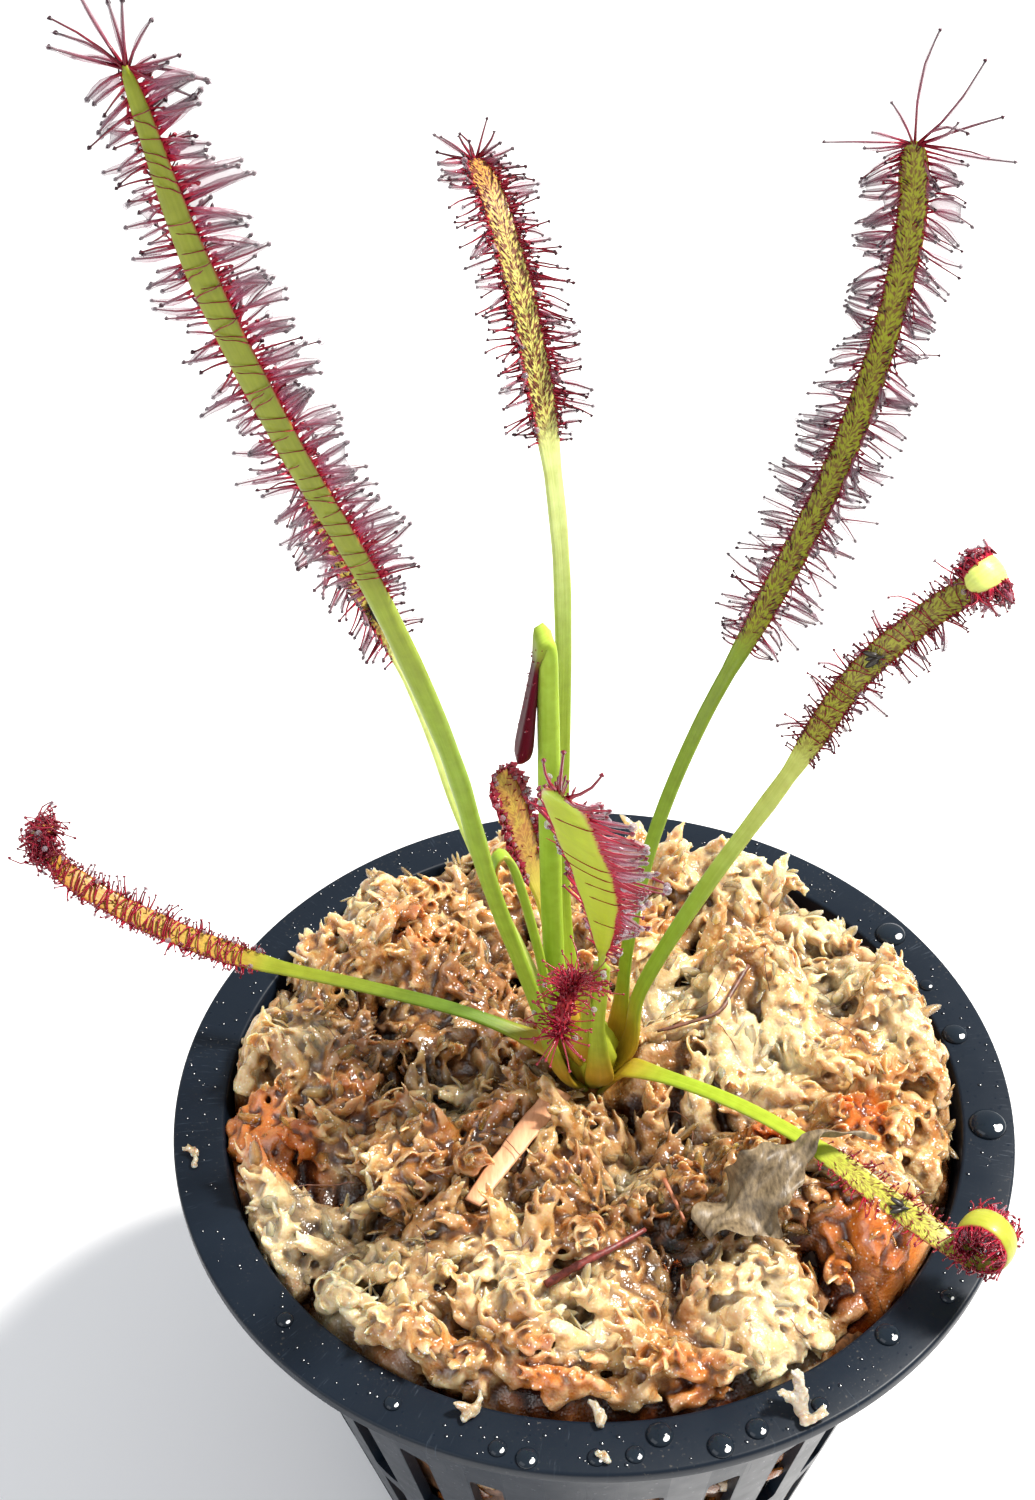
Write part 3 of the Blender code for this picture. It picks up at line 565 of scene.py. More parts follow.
# %% Plans of the leaves
STOCK = np.array((0, 1 * MM, LIP))
PLANS = {
    # name: socket (azimuth, height, stock radius), azimuth, knots (reach, height), share of stalk,
    #     stalk (width, thickness), blade (width, thickness), side and tip tentacles, and options
    "low_left": ((172, 4.6, 3.63), 166,
        ((6.5, 5.6), (15, 8.4), (27, 10), (38, 11), (46.5, 13), (55, 16.6), (60.5, 20.4),
         (63.6, 24.4)),
        0.56, (1.6, 1.2), (2.8, 1.2), 2.6, 2.6, dict(twist=-20, tip_turn=45, roll=(1.5, 0.5))),
    "low_right": ((-36, 4.6, 3.63), -38,
        ((6.5, 6.6), (15, 9.0), (23, 9.9), (31, 9.2), (38, 7.4), (47, 5.6)),
        0.62, (1.6, 1.1), (2.9, 0.8), 2.6, 2.4, dict(twist=20, tip_turn=-30, roll=(3.2, 1.0))),
    "tall_left": ((218, 5.6, 3.6), 213,
        ((7.6, 19), (12.5, 38), (16.4, 57), (22.5, 77), (29.4, 94.5), (34.6, 110), (37.8, 125)),
        0.60, (2.2, 1.4), (2.3, 0.8), 4.4, 5.8, dict(twist=50, taper=0.5)),
    "tall_right": ((42, 6.4, 3.42), 33,
        ((4.9, 20), (7.9, 34), (13.3, 46.4), (20.9, 58), (27.6, 69), (32.3, 80.6), (34.8, 93),
         (34.2, 102.6)),
        0.50, (1.6, 1.1), (2.7, 0.8), 5.0, 8.0, dict(twist=35)),
    "mid_right": ((2, 6.4, 3.42), 10,
        ((5.6, 14.2), (12, 28), (20, 42), (26, 53.5), (31.6, 59.5), (37.4, 63.6)),
        0.64, (1.9, 1.3), (2.8, 0.8), 3.6, 3.4, dict(twist=45, roll=(2.9, 0.6))),
    "back": ((106, 6.6, 3.38), 112,
        ((6.8, 16.5), (8.0, 29), (7.8, 43), (7.3, 57), (8.1, 69.4), (11.4, 81), (16.6, 90.6),
         (22.4, 97), (27.3, 99.4)),
        0.73, (1.8, 1.2), (2.8, 0.8), 4.1, 4.2, {}),
    "behind_left": ((146, 6.8, 3.34), 166,
        ((7.6, 19.5), (10.8, 28), (14.2, 39), (17.2, 51), (20.6, 61), (24.6, 69), (27.3, 77.6)),
        0.73, (1.3, 1.0), (2.2, 0.8), 4.0, 4.6, dict(twist=-40)),
    "front": ((-80, 6.2, 3.46), -95,
        ((6.6, 17), (14.5, 33), (25, 50), (37, 67), (48.5, 81.5), (57, 93.5)),
        0.38, (1.7, 1.2), (3.7, 0.8), 4.2, 5.2, dict(twist=-28, bow=1.7, widths=((-6, 1.7),
         (-1, 1.2), (8, 2.4), (24, 4.1), (44, 4.3), (64, 3.2)))),
    "young_back": ((138, 9.4, 2.58), 146,
        ((4.3, 14), (5.4, 22), (7.2, 29), (9.2, 36), (11.4, 41.7)),
        0.62, (1.6, 1.1), (4.0, 0.9), 1.5, 1.5, dict(twist=-15)),
    "unfolding": ((178, 10.0, 2.0), 190,
        ((3.6, 14.5), (4.0, 30), (4.1, 45), (4.2, 57), (4.35, 62.9), (4.8, 64.2), (5.35, 63.4),
         (6.2, 58), (7.5, 49.4)),
        0.80, (2.5, 3.1), (2.4, 0.9), 0.5, 0.5, dict(widths=((-6, 2.7), (-3, 3.0), (-1, 3.4),
         (0.6, 3.0), (2.2, 1.9), (12, 2.7)), thicks=((-20, 3.1), (-4, 2.8), (-1.2, 2.7), (0.4, 1.5),
         (2.2, 0.8), (14, 2.8)))),
    "small_hook": ((224, 9.2, 2.65), 206,
        ((5.4, 19), (6.4, 25), (7.9, 33), (9.2, 38.4), (10.4, 40.2), (11.4, 38.4), (11.2, 33)),
        0.80, (1.7, 1.2), (1.4, 1.0), 0, 0, {}),
    "young_front": ((-114, 9.0, 2.73), -99.5,
        ((5.6, 15.5), (11, 26), (16, 33.4), (20.3, 37.8), (23.8, 38.6), (26.0, 36.6)),
        0.60, (1.4, 1.0), (1.6, 0.8), 2.6, 3.6, dict(bow=0.6)),
}
print("leaves:", ", ".join(PLANS))

# %% [markdown]
# ### From plan to rib
# The rib is a smooth curve through the knots. At each station along it we keep three directions:
# along the leaf, across it, and out of its sticky face. The blade turns about its rib on the way up,
# and an old tip goes on into a roll that closes over the face. The stalk is carried down into the
# stock and widened where it enters, because a real leaf grips the stock with a broad foot.

# %% Ribs


def blended(at, known, rows):
    """Rows of numbers read at places between the known ones."""
    return np.stack([np.interp(at, known, column) for column in rows.T], 1)


def curve_through(knots, step):
    """Even points along a smooth curve through the knots, and how far along each one lies."""
    knots = np.asarray(knots, float)
    padded = np.vstack([2 * knots[0] - knots[1], knots, 2 * knots[-1] - knots[-2]])
    t = np.linspace(0, 1, 24, endpoint=False)[:, None]
    spans = [0.5 * (2 * b + (c - a) * t + (2 * a - 5 * b + 4 * c - d) * t ** 2
                    + (3 * b - a - 3 * c + d) * t ** 3)
             for a, b, c, d in zip(padded, padded[1:], padded[2:], padded[3:])]
    dense = np.vstack([*spans, knots[-1:]])
    travelled = np.concatenate([[0], np.cumsum(np.linalg.norm(np.diff(dense, axis=0), axis=1))])
    stops = np.linspace(0, travelled[-1], max(4, round(travelled[-1] / step) + 1))
    return blended(stops, travelled, dense), stops


def around(azimuth):
    """The way outwards at an azimuth in degrees."""
    return np.array((math.cos(math.radians(azimuth)), math.sin(math.radians(azimuth)), 0))


def rounded(share):
    """From 0 to 1 along a quarter circle, and 1 from there on."""
    return np.sqrt(1 - (1 - np.clip(share, 0, 1)) ** 2)


STATION_STEP = 0.7 * MM


def lay_rib(plan):
    """Stations of a leaf: point, along, across, face, width, thickness, how far past the blade's
    start, how much is left to the tip, and how much it belongs to the foot."""
    (socket_turn, socket_height, stock), azimuth, knots, stalk_share, stalk, blade = plan[:6]
    options = plan[-1]
    outward, sideways = around(azimuth), around(azimuth + 90)
    steep = math.sin(math.atan2(knots[0][1] - socket_height, knots[0][0] - stock))
    base = around(socket_turn) * (stock + 0.3 + steep * stalk[1] / 2) * MM
    path = [STOCK + around(socket_turn) * 1.4 * MM + (0, 0, (socket_height - 5) * MM),
            STOCK + base + (0, 0, socket_height * MM)]
    lead = np.linalg.norm(path[1] - path[0])
    for index, (reach, height) in enumerate(knots):
        drift = options.get("bow", 0) * math.sin(math.pi * (index + 1) / len(knots))
        path.append(STOCK + (outward * reach + sideways * drift + (0, 0, height)) * MM)
    point, travelled = curve_through(path, STATION_STEP)
    along = unit(np.gradient(point, axis=0))
    across = unit(sideways - along * (along @ sideways)[:, None])
    face = unit(np.cross(along, across))
    blade_start = lead + (travelled[-1] - lead) * stalk_share
    nearing = np.clip(1 - (travelled[-1] - travelled) / (9 * MM), 0, 1) ** 2
    turn = (options.get("twist", 0) * np.clip(travelled / blade_start, 0, 1)
            + options.get("tip_turn", 0) * nearing)
    turn = np.radians(turn)[:, None]
    across, face = (across * np.cos(turn) + face * np.sin(turn),
                    face * np.cos(turn) - across * np.sin(turn))
    if "roll" in options:
        radius, turns = options["roll"]
        steps = round(turns * 360 / 10)
        stride = math.tau * turns / steps
        for index in range(steps):
            last = along[-1]
            ahead = last * math.cos(stride) - np.cross(across[-1], last) * math.sin(stride)
            hop = radius * (1 - 0.35 * index / steps) * stride * MM
            point = np.vstack([point, point[-1] + unit(last + ahead) * hop])
            along = np.vstack([along, ahead])
            across = np.vstack([across, across[-1]])
            face = np.vstack([face, np.cross(ahead, across[-1])])
            travelled = np.append(travelled, travelled[-1] + radius * stride * MM)
    past = travelled - blade_start
    left = travelled[-1] - travelled
    grown = np.clip(past / (7 * MM) + 0.5, 0, 1)
    width = stalk[0] + (blade[0] - stalk[0]) * grown
    thickness = stalk[1] + (blade[1] - stalk[1]) * grown
    width = width * (0.35 + 0.65 * rounded(left / (3.5 * MM)))
    width = width * (1 - options.get("taper", 0) * (1 - np.clip(left / (16 * MM), 0, 1)))
    if "widths" in options:
        marks, widths = zip(*options["widths"])
        own = np.interp(past / MM, marks, widths) * width / blade[0]
        width = np.where(past > marks[0] * MM, own, width)
    if "thicks" in options:
        marks, thicks = zip(*options["thicks"])
        thickness = np.interp(past / MM, marks, thicks)
    thickness = thickness * (0.45 + 0.55 * rounded(left / (2.5 * MM)))
    width = width + 1.5 * np.exp(-((travelled - lead) / (5 * MM)) ** 2)
    return dict(point=point, along=along, across=across, face=face, width=width * MM,
                thickness=thickness * MM, past=past, left=left,
                foot=np.exp(-((travelled - lead) / (4.5 * MM)) ** 2))


ribs = {name: lay_rib(plan) for name, plan in PLANS.items()}
print("stations:", {name: len(rib["point"]) for name, rib in ribs.items()})

# %% [markdown]
# ## Things lying on the moss
# A dead leaf stalk, a crumpled dry leaf, a root, a ridged dry leaf and a needle lie on the bed. The
# moss must not grow through them, so their runs are set down before the moss is, in millimetres
# from the middle of the lip.

# %% Runs of the litter
RUNS = {
    "dead_stalk": ((-3.6, -3.8, 4.0), (-6.9, -8.7, 4.5), (-10.2, -13.7, 4.5), (-13.4, -18.6, 4.2)),
    "dried_leaf": ((10.5, -24.4, 5.6), (13.5, -22.6, 7.2), (17.0, -20.4, 9.2), (20.0, -18.6, 11.0),
        (22.6, -17.3, 11.9), (25.4, -16.8, 11.8), (28.8, -16.8, 11.0)),
    "root_fibre": ((18.6, 10.8, 8.2), (16.6, 7.4, 7.8), (14.6, 4.6, 7.2), (11.0, 3.6, 6.6),
        (7.6, 3.0, 6.0)),
    "dried_twig": ((-6.0, -28.6, 3.6), (-2.6, -26.8, 4.2), (0.8, -25.2, 4.6), (4.6, -22.6, 4.2)),
    "dried_needle": ((6.9, -17.0, 5.2), (7.9, -19.4, 4.7), (8.8, -21.6, 4.0)),
}
CLEAR = dict(dead_stalk=0.7, dried_leaf=1.8, root_fibre=0.2, dried_twig=0.4, dried_needle=0.2)
runs = {name: curve_through(np.array(run) * MM + (0, 0, LIP), 0.5 * MM)[0]
        for name, run in RUNS.items()}
keep_clear = [(runs[name], clear * MM) for name, clear in CLEAR.items()]
for name, rib in ribs.items():
    low = rib["point"][:, 2] < LIP + 14 * MM
    keep_clear.append((rib["point"][low], 0.9 * MM))
clear_points = np.vstack([points for points, _ in keep_clear])
clear_reach = np.concatenate([np.full(len(points), reach) for points, reach in keep_clear])
print("points that the moss keeps clear of:", len(clear_points))

# %% [markdown]
# ## Zones of the moss
# Wet moss is never one colour. Some tufts are bleached cream, some have gone rusty or brown where
# peat has stained them, and between the tufts are hollows that you look down into. The zones are
# round spots with soft edges: x, y and radius, in millimetres from the middle of the lip. They steer
# the colour and, in the hollows, how deep the shoots lie. The hollows are also painted darker, as
# shade, and the last list of zones is painted shadow over the middle and the left of the bed. At one
# place on the right the moss has clotted into a smooth amber lump.

# %% Zones
RUSTY = ((27.4, -23.9, 5.9), (-38.8, -5.5, 4.5), (-34.0, -9.8, 4.4), (18.0, -10.0, 3.4),
         (29.2, -8.9, 3.0))
TAWNY = ((-12.6, -21.6, 3.6), (-5.8, -38.0, 6.0), (-22.7, -32.7, 3.4), (-13.6, -35.2, 4.0),
         (9.0, -37.5, 4.6), (33.0, 14.0, 3.8), (12.0, 24.0, 3.4), (33.0, -2.0, 3.6),
         (-27.0, -4.0, 5.0), (-20.0, 20.0, 5.0))
AMBER = ((27.4, -23.9, 4.4),)
CREAMY = ((10.9, 10.1, 4.9), (19.9, 1.4, 6.3), (-32.2, -19.1, 5.8), (-26.5, -27.3, 6.8),
          (-10.6, -27.7, 4.0), (-3.5, -30.9, 4.5), (15.6, -31.4, 5.4), (18.8, -37.7, 4.6),
          (3.6, -13.0, 2.8), (-16.0, -1.9, 3.0), (28.8, 11.9, 4.7), (35.5, 2.4, 3.4),
          (22.0, 30.0, 6.5), (29.0, 20.0, 4.5), (-33.0, 4.0, 3.4))
HOLLOW = ((-24.9, 8.9, 5.3), (-20.0, 1.2, 4.6), (2.2, -4.6, 3.0), (-26.7, -14.1, 3.0),
          (-16.8, -23.9, 3.5), (-8.4, -17.2, 3.0), (7.5, -25.8, 5.2), (20.6, -24.4, 3.5),
          (-29.3, 23.9, 3.7), (-17.8, 36.1, 3.1), (4.9, 28.0, 3.1), (-39.8, 11.0, 2.9),
          (35.3, -17.2, 2.7), (11.6, -8.4, 2.6), (4.2, -20.8, 2.6))
# Painted shadow: spots where the moss colour is darkened as if in shade, in the middle and on the
# left.
SHADOWED = ((-12.0, -8.0, 8.0), (-24.0, 2.0, 9.0), (-1.0, -17.0, 8.0), (8.0, -22.0, 7.5),
         (8.0, -12.0, 5.0), (-20.0, -20.0, 5.5), (-30.0, 10.0, 6.0), (14.0, -14.0, 5.0),
         (-13.0, 12.0, 8.0))


def inside(places, zones):
    """How far inside one of some round zones each place lies, from 0 to 1."""
    zones = np.array(zones)
    away = np.asarray(places)[..., None, :2] / MM - zones[:, :2]
    return np.exp(-(np.linalg.norm(away, axis=-1) / zones[:, 2]) ** 2).max(-1)


def zone_marks(places):
    """What the finish has to know of each place: its zones, with the tawny ones as a weaker rust,
    and how deep it lies in the bed, from 0 in the dark to 1 at the tops. The finish darkens what lies
    low as painted shade, and a hollow counts as deeper; the last zones are painted shadow."""
    over = (places[:, 2] - height_at(places[:, :2])) / (4.2 * MM)
    return dict(rusty=np.maximum(inside(places, RUSTY), 0.42 * inside(places, TAWNY)),
                creamy=inside(places, CREAMY), peaty=inside(places, SHADOWED),
                depth=np.clip(0.66 + over - 0.2 * inside(places, HOLLOW), 0, 1))


print("zones:", len(RUSTY), "rusty,", len(TAWNY), "tawny,", len(CREAMY), "creamy,",
      len(HOLLOW), "hollow,", len(SHADOWED), "peaty")

# %% [markdown]
# ## Moss finish
# Long-fibred moss is dead sphagnum: every leaflet is a cup of empty cells that holds water. Wet, it
# is cream to honey and lets light through, and glints all over. The finish reads marks from the
# mesh: the zones, how deep a point lies in the bed, whether it is on a ridge or in a crease, and a
# random tone for each shoot. Much light and shade is painted into the colour: painted shade darkens
# the deep places and the creases, painted shadow darkens some zones, and painted highlights lighten
# the ridges and dot them with small white glint spots. Light that scatters under the surface joins
# the leaflets into soft wet flesh. Two stops close together make a step in a ramp: only what stands
# clear of the bed, or of its surroundings, takes the last colour.

# %% Moss finish


def moss_finish(name, cream=(0.77, 0.62, 0.34), honey=(0.60, 0.34, 0.12),
                white=(0.89, 0.79, 0.53), **constants):
    """Wet moss, from its fresh colours to its stains, and the shade, shadows and glints painted into
    it.
    """
    moss = Finish(name, Subsurface_Weight=0.8, Subsurface_Radius=(1.0, 0.60, 0.32),
                  Subsurface_Scale=1.8 * MM, Coat_Roughness=0.13, IOR=1.48, **constants)
    here = moss.place()
    tone, depth, rusty, creamy, ridge, peaty = map(
        moss.mark, ("tone", "depth", "rusty", "creamy", "ridge", "peaty"))
    patches = moss.clouds(here, 6, detail=3)
    color = moss.mix((patches * 0.8 + tone * 0.9 - creamy * 0.7).within(0.40, 1.25), cream, honey)
    brown = moss.clouds(here.scaled(1, 1, 1.5), 4, detail=3) + tone * 0.5 - creamy * 0.5
    color = moss.mix(brown.within(0.55, 1.15) * 0.7, color, (0.40, 0.25, 0.10))
    amber = moss.clouds(here, 1.6, detail=3) * 1.2 + tone * 0.3 - creamy * 0.3 - ridge * 0.25
    color = moss.mix(amber.within(0.40, 0.80) * 0.7, color, (0.60, 0.28, 0.07))
    stained = rusty * 1.7 + patches * 0.4 + tone * 0.3 - depth * 0.35 - creamy * 0.9
    stained = stained.within(0.25, 1.0)
    # Painted shade: the rust stain is darker in the creases than on the ridges.
    stain_and_crease_shade = moss.mix(ridge.within(0.2, 0.7), (0.32, 0.070, 0.008), (0.70, 0.23, 0.028))
    color = moss.mix(stained * 0.92, color, stain_and_crease_shade)
    # Painted shade: the colour darkens towards black the deeper a point lies in the bed, and only the
    # very tops take a cream tint.
    color = moss.tint(1, color, moss.ramp(
        depth, (0.0, (0.10, 0.05, 0.025)), (0.999, (1, 1, 1)), (1.0, (0.88, 0.77, 0.60))))
    # Painted shadow over the zones listed last.
    color = moss.tint(peaty * 0.85, color, (0.42, 0.30, 0.16))
    # Painted shade in the creases; what stands out past the middle takes a cream tint.
    color = moss.tint(0.85, color, moss.ramp(
        ridge, (0.06, (0.28, 0.14, 0.07)), (0.52, (1, 1, 1)), (0.521, (0.82, 0.67, 0.48))))
    # Painted shade, darker still in the creases of the zones of painted shadow.
    creases = peaty * (1 - ridge.within(0.25, 0.62))
    color = moss.tint(creases * 0.8, color, (0.22, 0.12, 0.06))
    # Towards white: the creamy zones are bleached moss, and the ridges get a painted highlight; both
    # fade where painted shade and shadow fall, and in the stains.
    pale = (ridge.within(0.55, 1.0) * 0.6 + creamy * 0.65) * depth
    pale = pale * (1 - stained * 0.8) * (1 - peaty * 0.85)
    color = moss.mix((pale * 0.62).least(0.7), color, white)
    specks = 1 - moss.cells(here, 0.9).within(0.05, 0.11)
    color = moss.mix(specks * 0.4, color, (0.10, 0.05, 0.025))
    # Painted highlights: small white glint spots on the ridges of the high parts.
    glints = 1 - moss.cells(here.scaled(1, 1, 0.7), 0.52).within(0.10, 0.26)
    glints = glints * ridge.within(0.30, 0.55) * depth * moss.clouds(here, 2.4).within(0.38, 0.58)
    color = moss.mix(glints, color, (1.0, 0.98, 0.92))
    wet = moss.clouds(here, 2.6).within(0.35, 0.60) * depth.within(0.25, 0.5)
    moss.show(Base_Color=color, Roughness=0.15 + moss.clouds(here, 1.5).within(0.35, 0.70) * 0.22,
              Coat_Weight=wet * 0.7,
              height=moss.cells(here, 0.34) * 0.6 + moss.clouds(here, 0.8), strength=0.9)
    return moss


moss_wet = moss_finish("moss_wet")
moss_film = moss_finish("moss_film", Alpha=0.62)
moss_torn = moss_finish("moss_torn", (0.60, 0.60, 0.56), (0.42, 0.40, 0.36), (0.76, 0.77, 0.75),
                        Alpha=0.75)
print("moss finishes:", moss_wet.material.name, moss_film.material.name, moss_torn.material.name)

# %% [markdown]
# ## Moss shoots
# A shoot is a soft worm two to four millimetres thick, tiled with leaflets. Each leaflet is a broad
# cupped scale, a closed body of six rings of six points. The golden angle sets them round the stem,
# as it does in the living plant, so no two stand exactly over each other. They lie nearly flat along
# the stem, and only their tips stand off. All the leaflets of a shoot are worked out at once. A few
# of them are also kept as thin films, to lie on top later.

# %% Leaflets
LEAFLET_AT = np.array((0, 0.2, 0.45, 0.72, 0.9, 1.0))
LEAFLET_WIDTHS = np.array((0.75, 1.0, 1.0, 0.84, 0.52, 0.10))
LEAFLET_DEPTHS = np.array((1.0, 1.0, 0.95, 0.8, 0.6, 0.3))
SECTION = ((1, 0), (0.55, 1), (-0.55, 1), (-1, 0), (-0.55, -1), (0.55, -1))
THIN_SECTION = ((1, 0), (0, 1), (-1, 0), (0, -1))
GOLDEN = math.radians(137.5)
SCALE_THICK, FILM_THICK = 0.38 * MM, 0.13 * MM
FILM_SHARE = 0.17
film_source = []


def squared(lift, aim):
    """The part of each lift that is square to its aim."""
    return unit(lift - aim * (lift * aim).sum(1)[:, None])


def leaflets(base, aim, lift, length, width, cup, flick, thick=0.15 * MM, section=SECTION):
    """Rings of many cupped scales: aim is where each points, lift is out of its back."""
    side = np.cross(lift, aim)
    rise = length[:, None] * (np.sin(math.pi * LEAFLET_AT) * 0.12 + flick[:, None] * LEAFLET_AT ** 3)
    middle = (base[:, None] + aim[:, None] * (length[:, None] * LEAFLET_AT)[..., None]
              + lift[:, None] * rise[..., None])
    half = width[:, None] * LEAFLET_WIDTHS / 2
    body = np.broadcast_to(thick * LEAFLET_DEPTHS / 2, half.shape)
    rings = []
    for share, face in section:
        drop = face * body - half * cup[:, None] * share ** 2
        rings.append(middle + side[:, None] * (half * share)[..., None]
                     + lift[:, None] * drop[..., None])
    return np.stack(rings, axis=2)


def grow_shoot(heap, path, size, tone, open_by):
    """A stem and the scales round it, from its foot to its tip. The scales stand off by open_by
    degrees."""
    steps = np.linalg.norm(np.diff(path, axis=0), axis=1)
    length = steps.sum()
    stops = np.concatenate([[0], np.cumsum(steps)]) / length
    stem = size * 0.45 * np.clip(1.03 - stops ** 1.8, 0.03, 1) ** 0.6
    stem = stem * draw.uniform(0.85, 1.15, len(path))
    heap.add(tubes(path[None], stem, 9), tone=tone)
    count = max(8, round(length / (0.15 * size)))
    where = np.linspace(0, 0.97, count)
    base = blended(where, stops, path)
    along = unit(np.gradient(base, axis=0))
    first = unit(np.cross(along, (0.3, 0.2, 1.0)))
    second = np.cross(along, first)
    angle = GOLDEN * np.arange(count) + draw.uniform(0, 6) + draw.normal(0, 0.3, count)
    outward = first * np.cos(angle)[:, None] + second * np.sin(angle)[:, None]
    seen = outward[:, 2] > -0.5
    base, along, outward, where = base[seen], along[seen], outward[seen], where[seen]
    count = len(base)
    lean = np.radians(open_by + 8 * where + draw.normal(0, 3, count))[:, None]
    aim = unit(along * np.cos(lean) + outward * np.sin(lean))
    lift = squared(outward, aim)
    full = 1 - 0.40 * where ** 2
    base = base + outward * np.interp(where, stops, stem)[:, None] * 0.78
    rings = leaflets(base, aim, lift, size * 0.82 * full * draw.uniform(0.75, 1.3, count),
                     size * 0.62 * full * draw.uniform(0.8, 1.2, count),
                     draw.uniform(0.25, 0.5, count), draw.normal(0.01, 0.05, count), SCALE_THICK)
    hue = tone + draw.normal(0, 0.10, (count, 1, 1))
    heap.add(rings, tone=hue)
    loose = (outward[:, 2] > 0.15) & (draw.uniform(0, 1, count) < FILM_SHARE)
    if loose.any():
        base, aim, lift, outward = base[loose], aim[loose], lift[loose], outward[loose]
        count = len(base)
        aim = unit(aim + outward * draw.uniform(0.05, 0.5, (count, 1))
                   + draw.normal(0, 0.12, (count, 3)))
        lift = squared(lift, aim)
        films = leaflets(base + outward * 0.2 * MM, aim, lift, size * draw.uniform(0.6, 0.95, count),
                         size * draw.uniform(0.32, 0.52, count), draw.uniform(0.2, 0.7, count),
                         draw.normal(0.06, 0.12, count), FILM_THICK, THIN_SECTION)
        film_source.append((films, hue[loose]))


print("one scale has", len(LEAFLET_AT) * len(SECTION), "points")

# %% [markdown]
# ### Laying the shoots
# Shoots grow in tufts: from one foot a handful of them splay out, the inner ones upright, the outer
# ones lying down over their neighbours. The tufts sit on mounds a few millimetres apart, with dark
# valleys between. Towards the right the shoots are combed forwards, down the side of the heap, and
# at the rim they follow the wall. A shoot is only laid where it doesn't touch a leaf or the litter.
# On the right, towards the back, the moss has shrunk away from the wall a little.

# %% Tufts
mounds = blurred(draw.normal(size=soft_height.shape), 42)
mounds = np.clip(mounds / mounds.std(), -1.8, 1.8)
lump_x, lump_y = AMBER[0][0] * MM, AMBER[0][1] * MM
lump = np.exp(-((GRID[:, None] - lump_x) ** 2 + (GRID[None] - lump_y) ** 2) / (5.5 * MM) ** 2)
moss_height = soft_height + mounds * 1.15 * MM + lump * 2.2 * MM


def lay_path(start, azimuth, length, offset, rise, bend):
    """A run over the bed that bends sideways and lifts off it towards its tip."""
    share = np.linspace(0, 1, 9)
    heading = azimuth + bend * (share - 0.3)
    hops = np.stack([np.cos(heading), np.sin(heading)], 1) * length / 8 * math.cos(rise)
    spots = start + np.cumsum(hops, axis=0) - hops[0]
    over = height_at(spots, moss_height) + offset + math.sin(rise) * length * share ** 1.2
    return np.column_stack([spots, over - inside(spots, HOLLOW) * 2.8 * MM])


def wall_gap(places):
    """How far the moss keeps off the wall at each place."""
    turn = np.degrees(np.arctan2(places[:, 1], places[:, 0]))
    return np.clip(1 - np.abs(turn - 40) / 62, 0, 1) * 2.8 * MM


def fits(path, size):
    """Whether a shoot stays in the pot and clear of all that lies on or passes over the moss."""
    if (np.linalg.norm(path[:, :2], axis=1) + wall_gap(path)).max() > MOUTH - 0.38 * size:
        return False
    gaps = np.linalg.norm(path[:, None] - clear_points[None], axis=2) - clear_reach
    return gaps.min() > 0.45 * size


SEED_TURN = 2.39996  # radians from each seed of a sunflower to the next


def spread_over_disc(count, radius):
    """Even but unruly places on a disc: a sunflower's seeds, each pushed about."""
    seed = np.arange(count) + 0.5
    reach, turn = radius * np.sqrt(seed / count), seed * SEED_TURN
    jitter = draw.normal(0, 0.35 * radius / math.sqrt(count), (count, 2))
    return np.stack([reach * np.cos(turn), reach * np.sin(turn)], 1) + jitter


SECTORS = ("moss_right", "moss_back", "moss_left", "moss_front")
OPENINGS = (1, 4, 7, 12)  # how far the scales of a shoot may stand off, in degrees
sources = {name: Heap() for name in SECTORS}
laid = 0


def try_shoot(start, turns, sizes, lengths, offsets, rises, bend=0.0, tones=(0, 1)):
    """Lay one shoot in the heap of its quarter, with a few tries. Turns are in radians, rises in
    degrees, and the sizes in millimetres, each as a range to draw from."""
    global laid
    quarter = SECTORS[int((math.degrees(math.atan2(start[1], start[0])) + 45) // 90) % 4]
    for _ in range(4):
        thick = draw.uniform(*sizes) * MM
        path = lay_path(start, draw.uniform(*turns), draw.uniform(*lengths) * MM,
                        draw.uniform(*offsets) * MM, math.radians(draw.uniform(*rises)),
                        draw.normal(bend, 0.7))
        if fits(path, thick):
            grow_shoot(sources[quarter], path, thick, draw.uniform(*tones), draw.choice(OPENINGS))
            laid += 1
            return


for start in spread_over_disc(104, 38.5 * MM):  # the tufts
    turn, deep, hue = draw.uniform(0, math.tau), inside(start, HOLLOW), draw.uniform(0, 0.6)
    combed = start[0] > 10 * MM
    for branch in range(draw.integers(5, 9)):
        turn += 2.4
        if combed and branch % 4:
            turns, sizes, lengths, rises = (-1.35, -0.35), (2.6, 4.4), (8, 14), (0, 20)
        else:
            turns, rises = (turn - 0.4, turn + 0.4), (0, 50 - 42 * deep)
            sizes, lengths = (2.4, 4.2), (5, 10)
        try_shoot(start, turns, sizes, lengths, (-2.3, -1.1), rises, tones=(hue, hue + 0.4))
for start in spread_over_disc(110, 39.8 * MM):  # shoots that lie low between them
    try_shoot(start, (0, math.tau), (2.5, 4.0), (7, 12), (-2.5, -1.5), (0, 12))
for turn in np.linspace(0, math.tau, 84, endpoint=False):  # and those along the wall
    way = np.array((math.cos(turn), math.sin(turn)))
    start = way * (draw.uniform(38.6, 40.4) * MM - wall_gap(way[None])[0])
    hand = draw.choice((-1, 1))
    heading = turn + hand * 1.8
    try_shoot(start, (heading - 0.2, heading + 0.2), (1.9, 2.9), (4, 8), (-1.6, 0.1), (0, 28),
              hand * 0.2)
print("shoots laid:", laid)

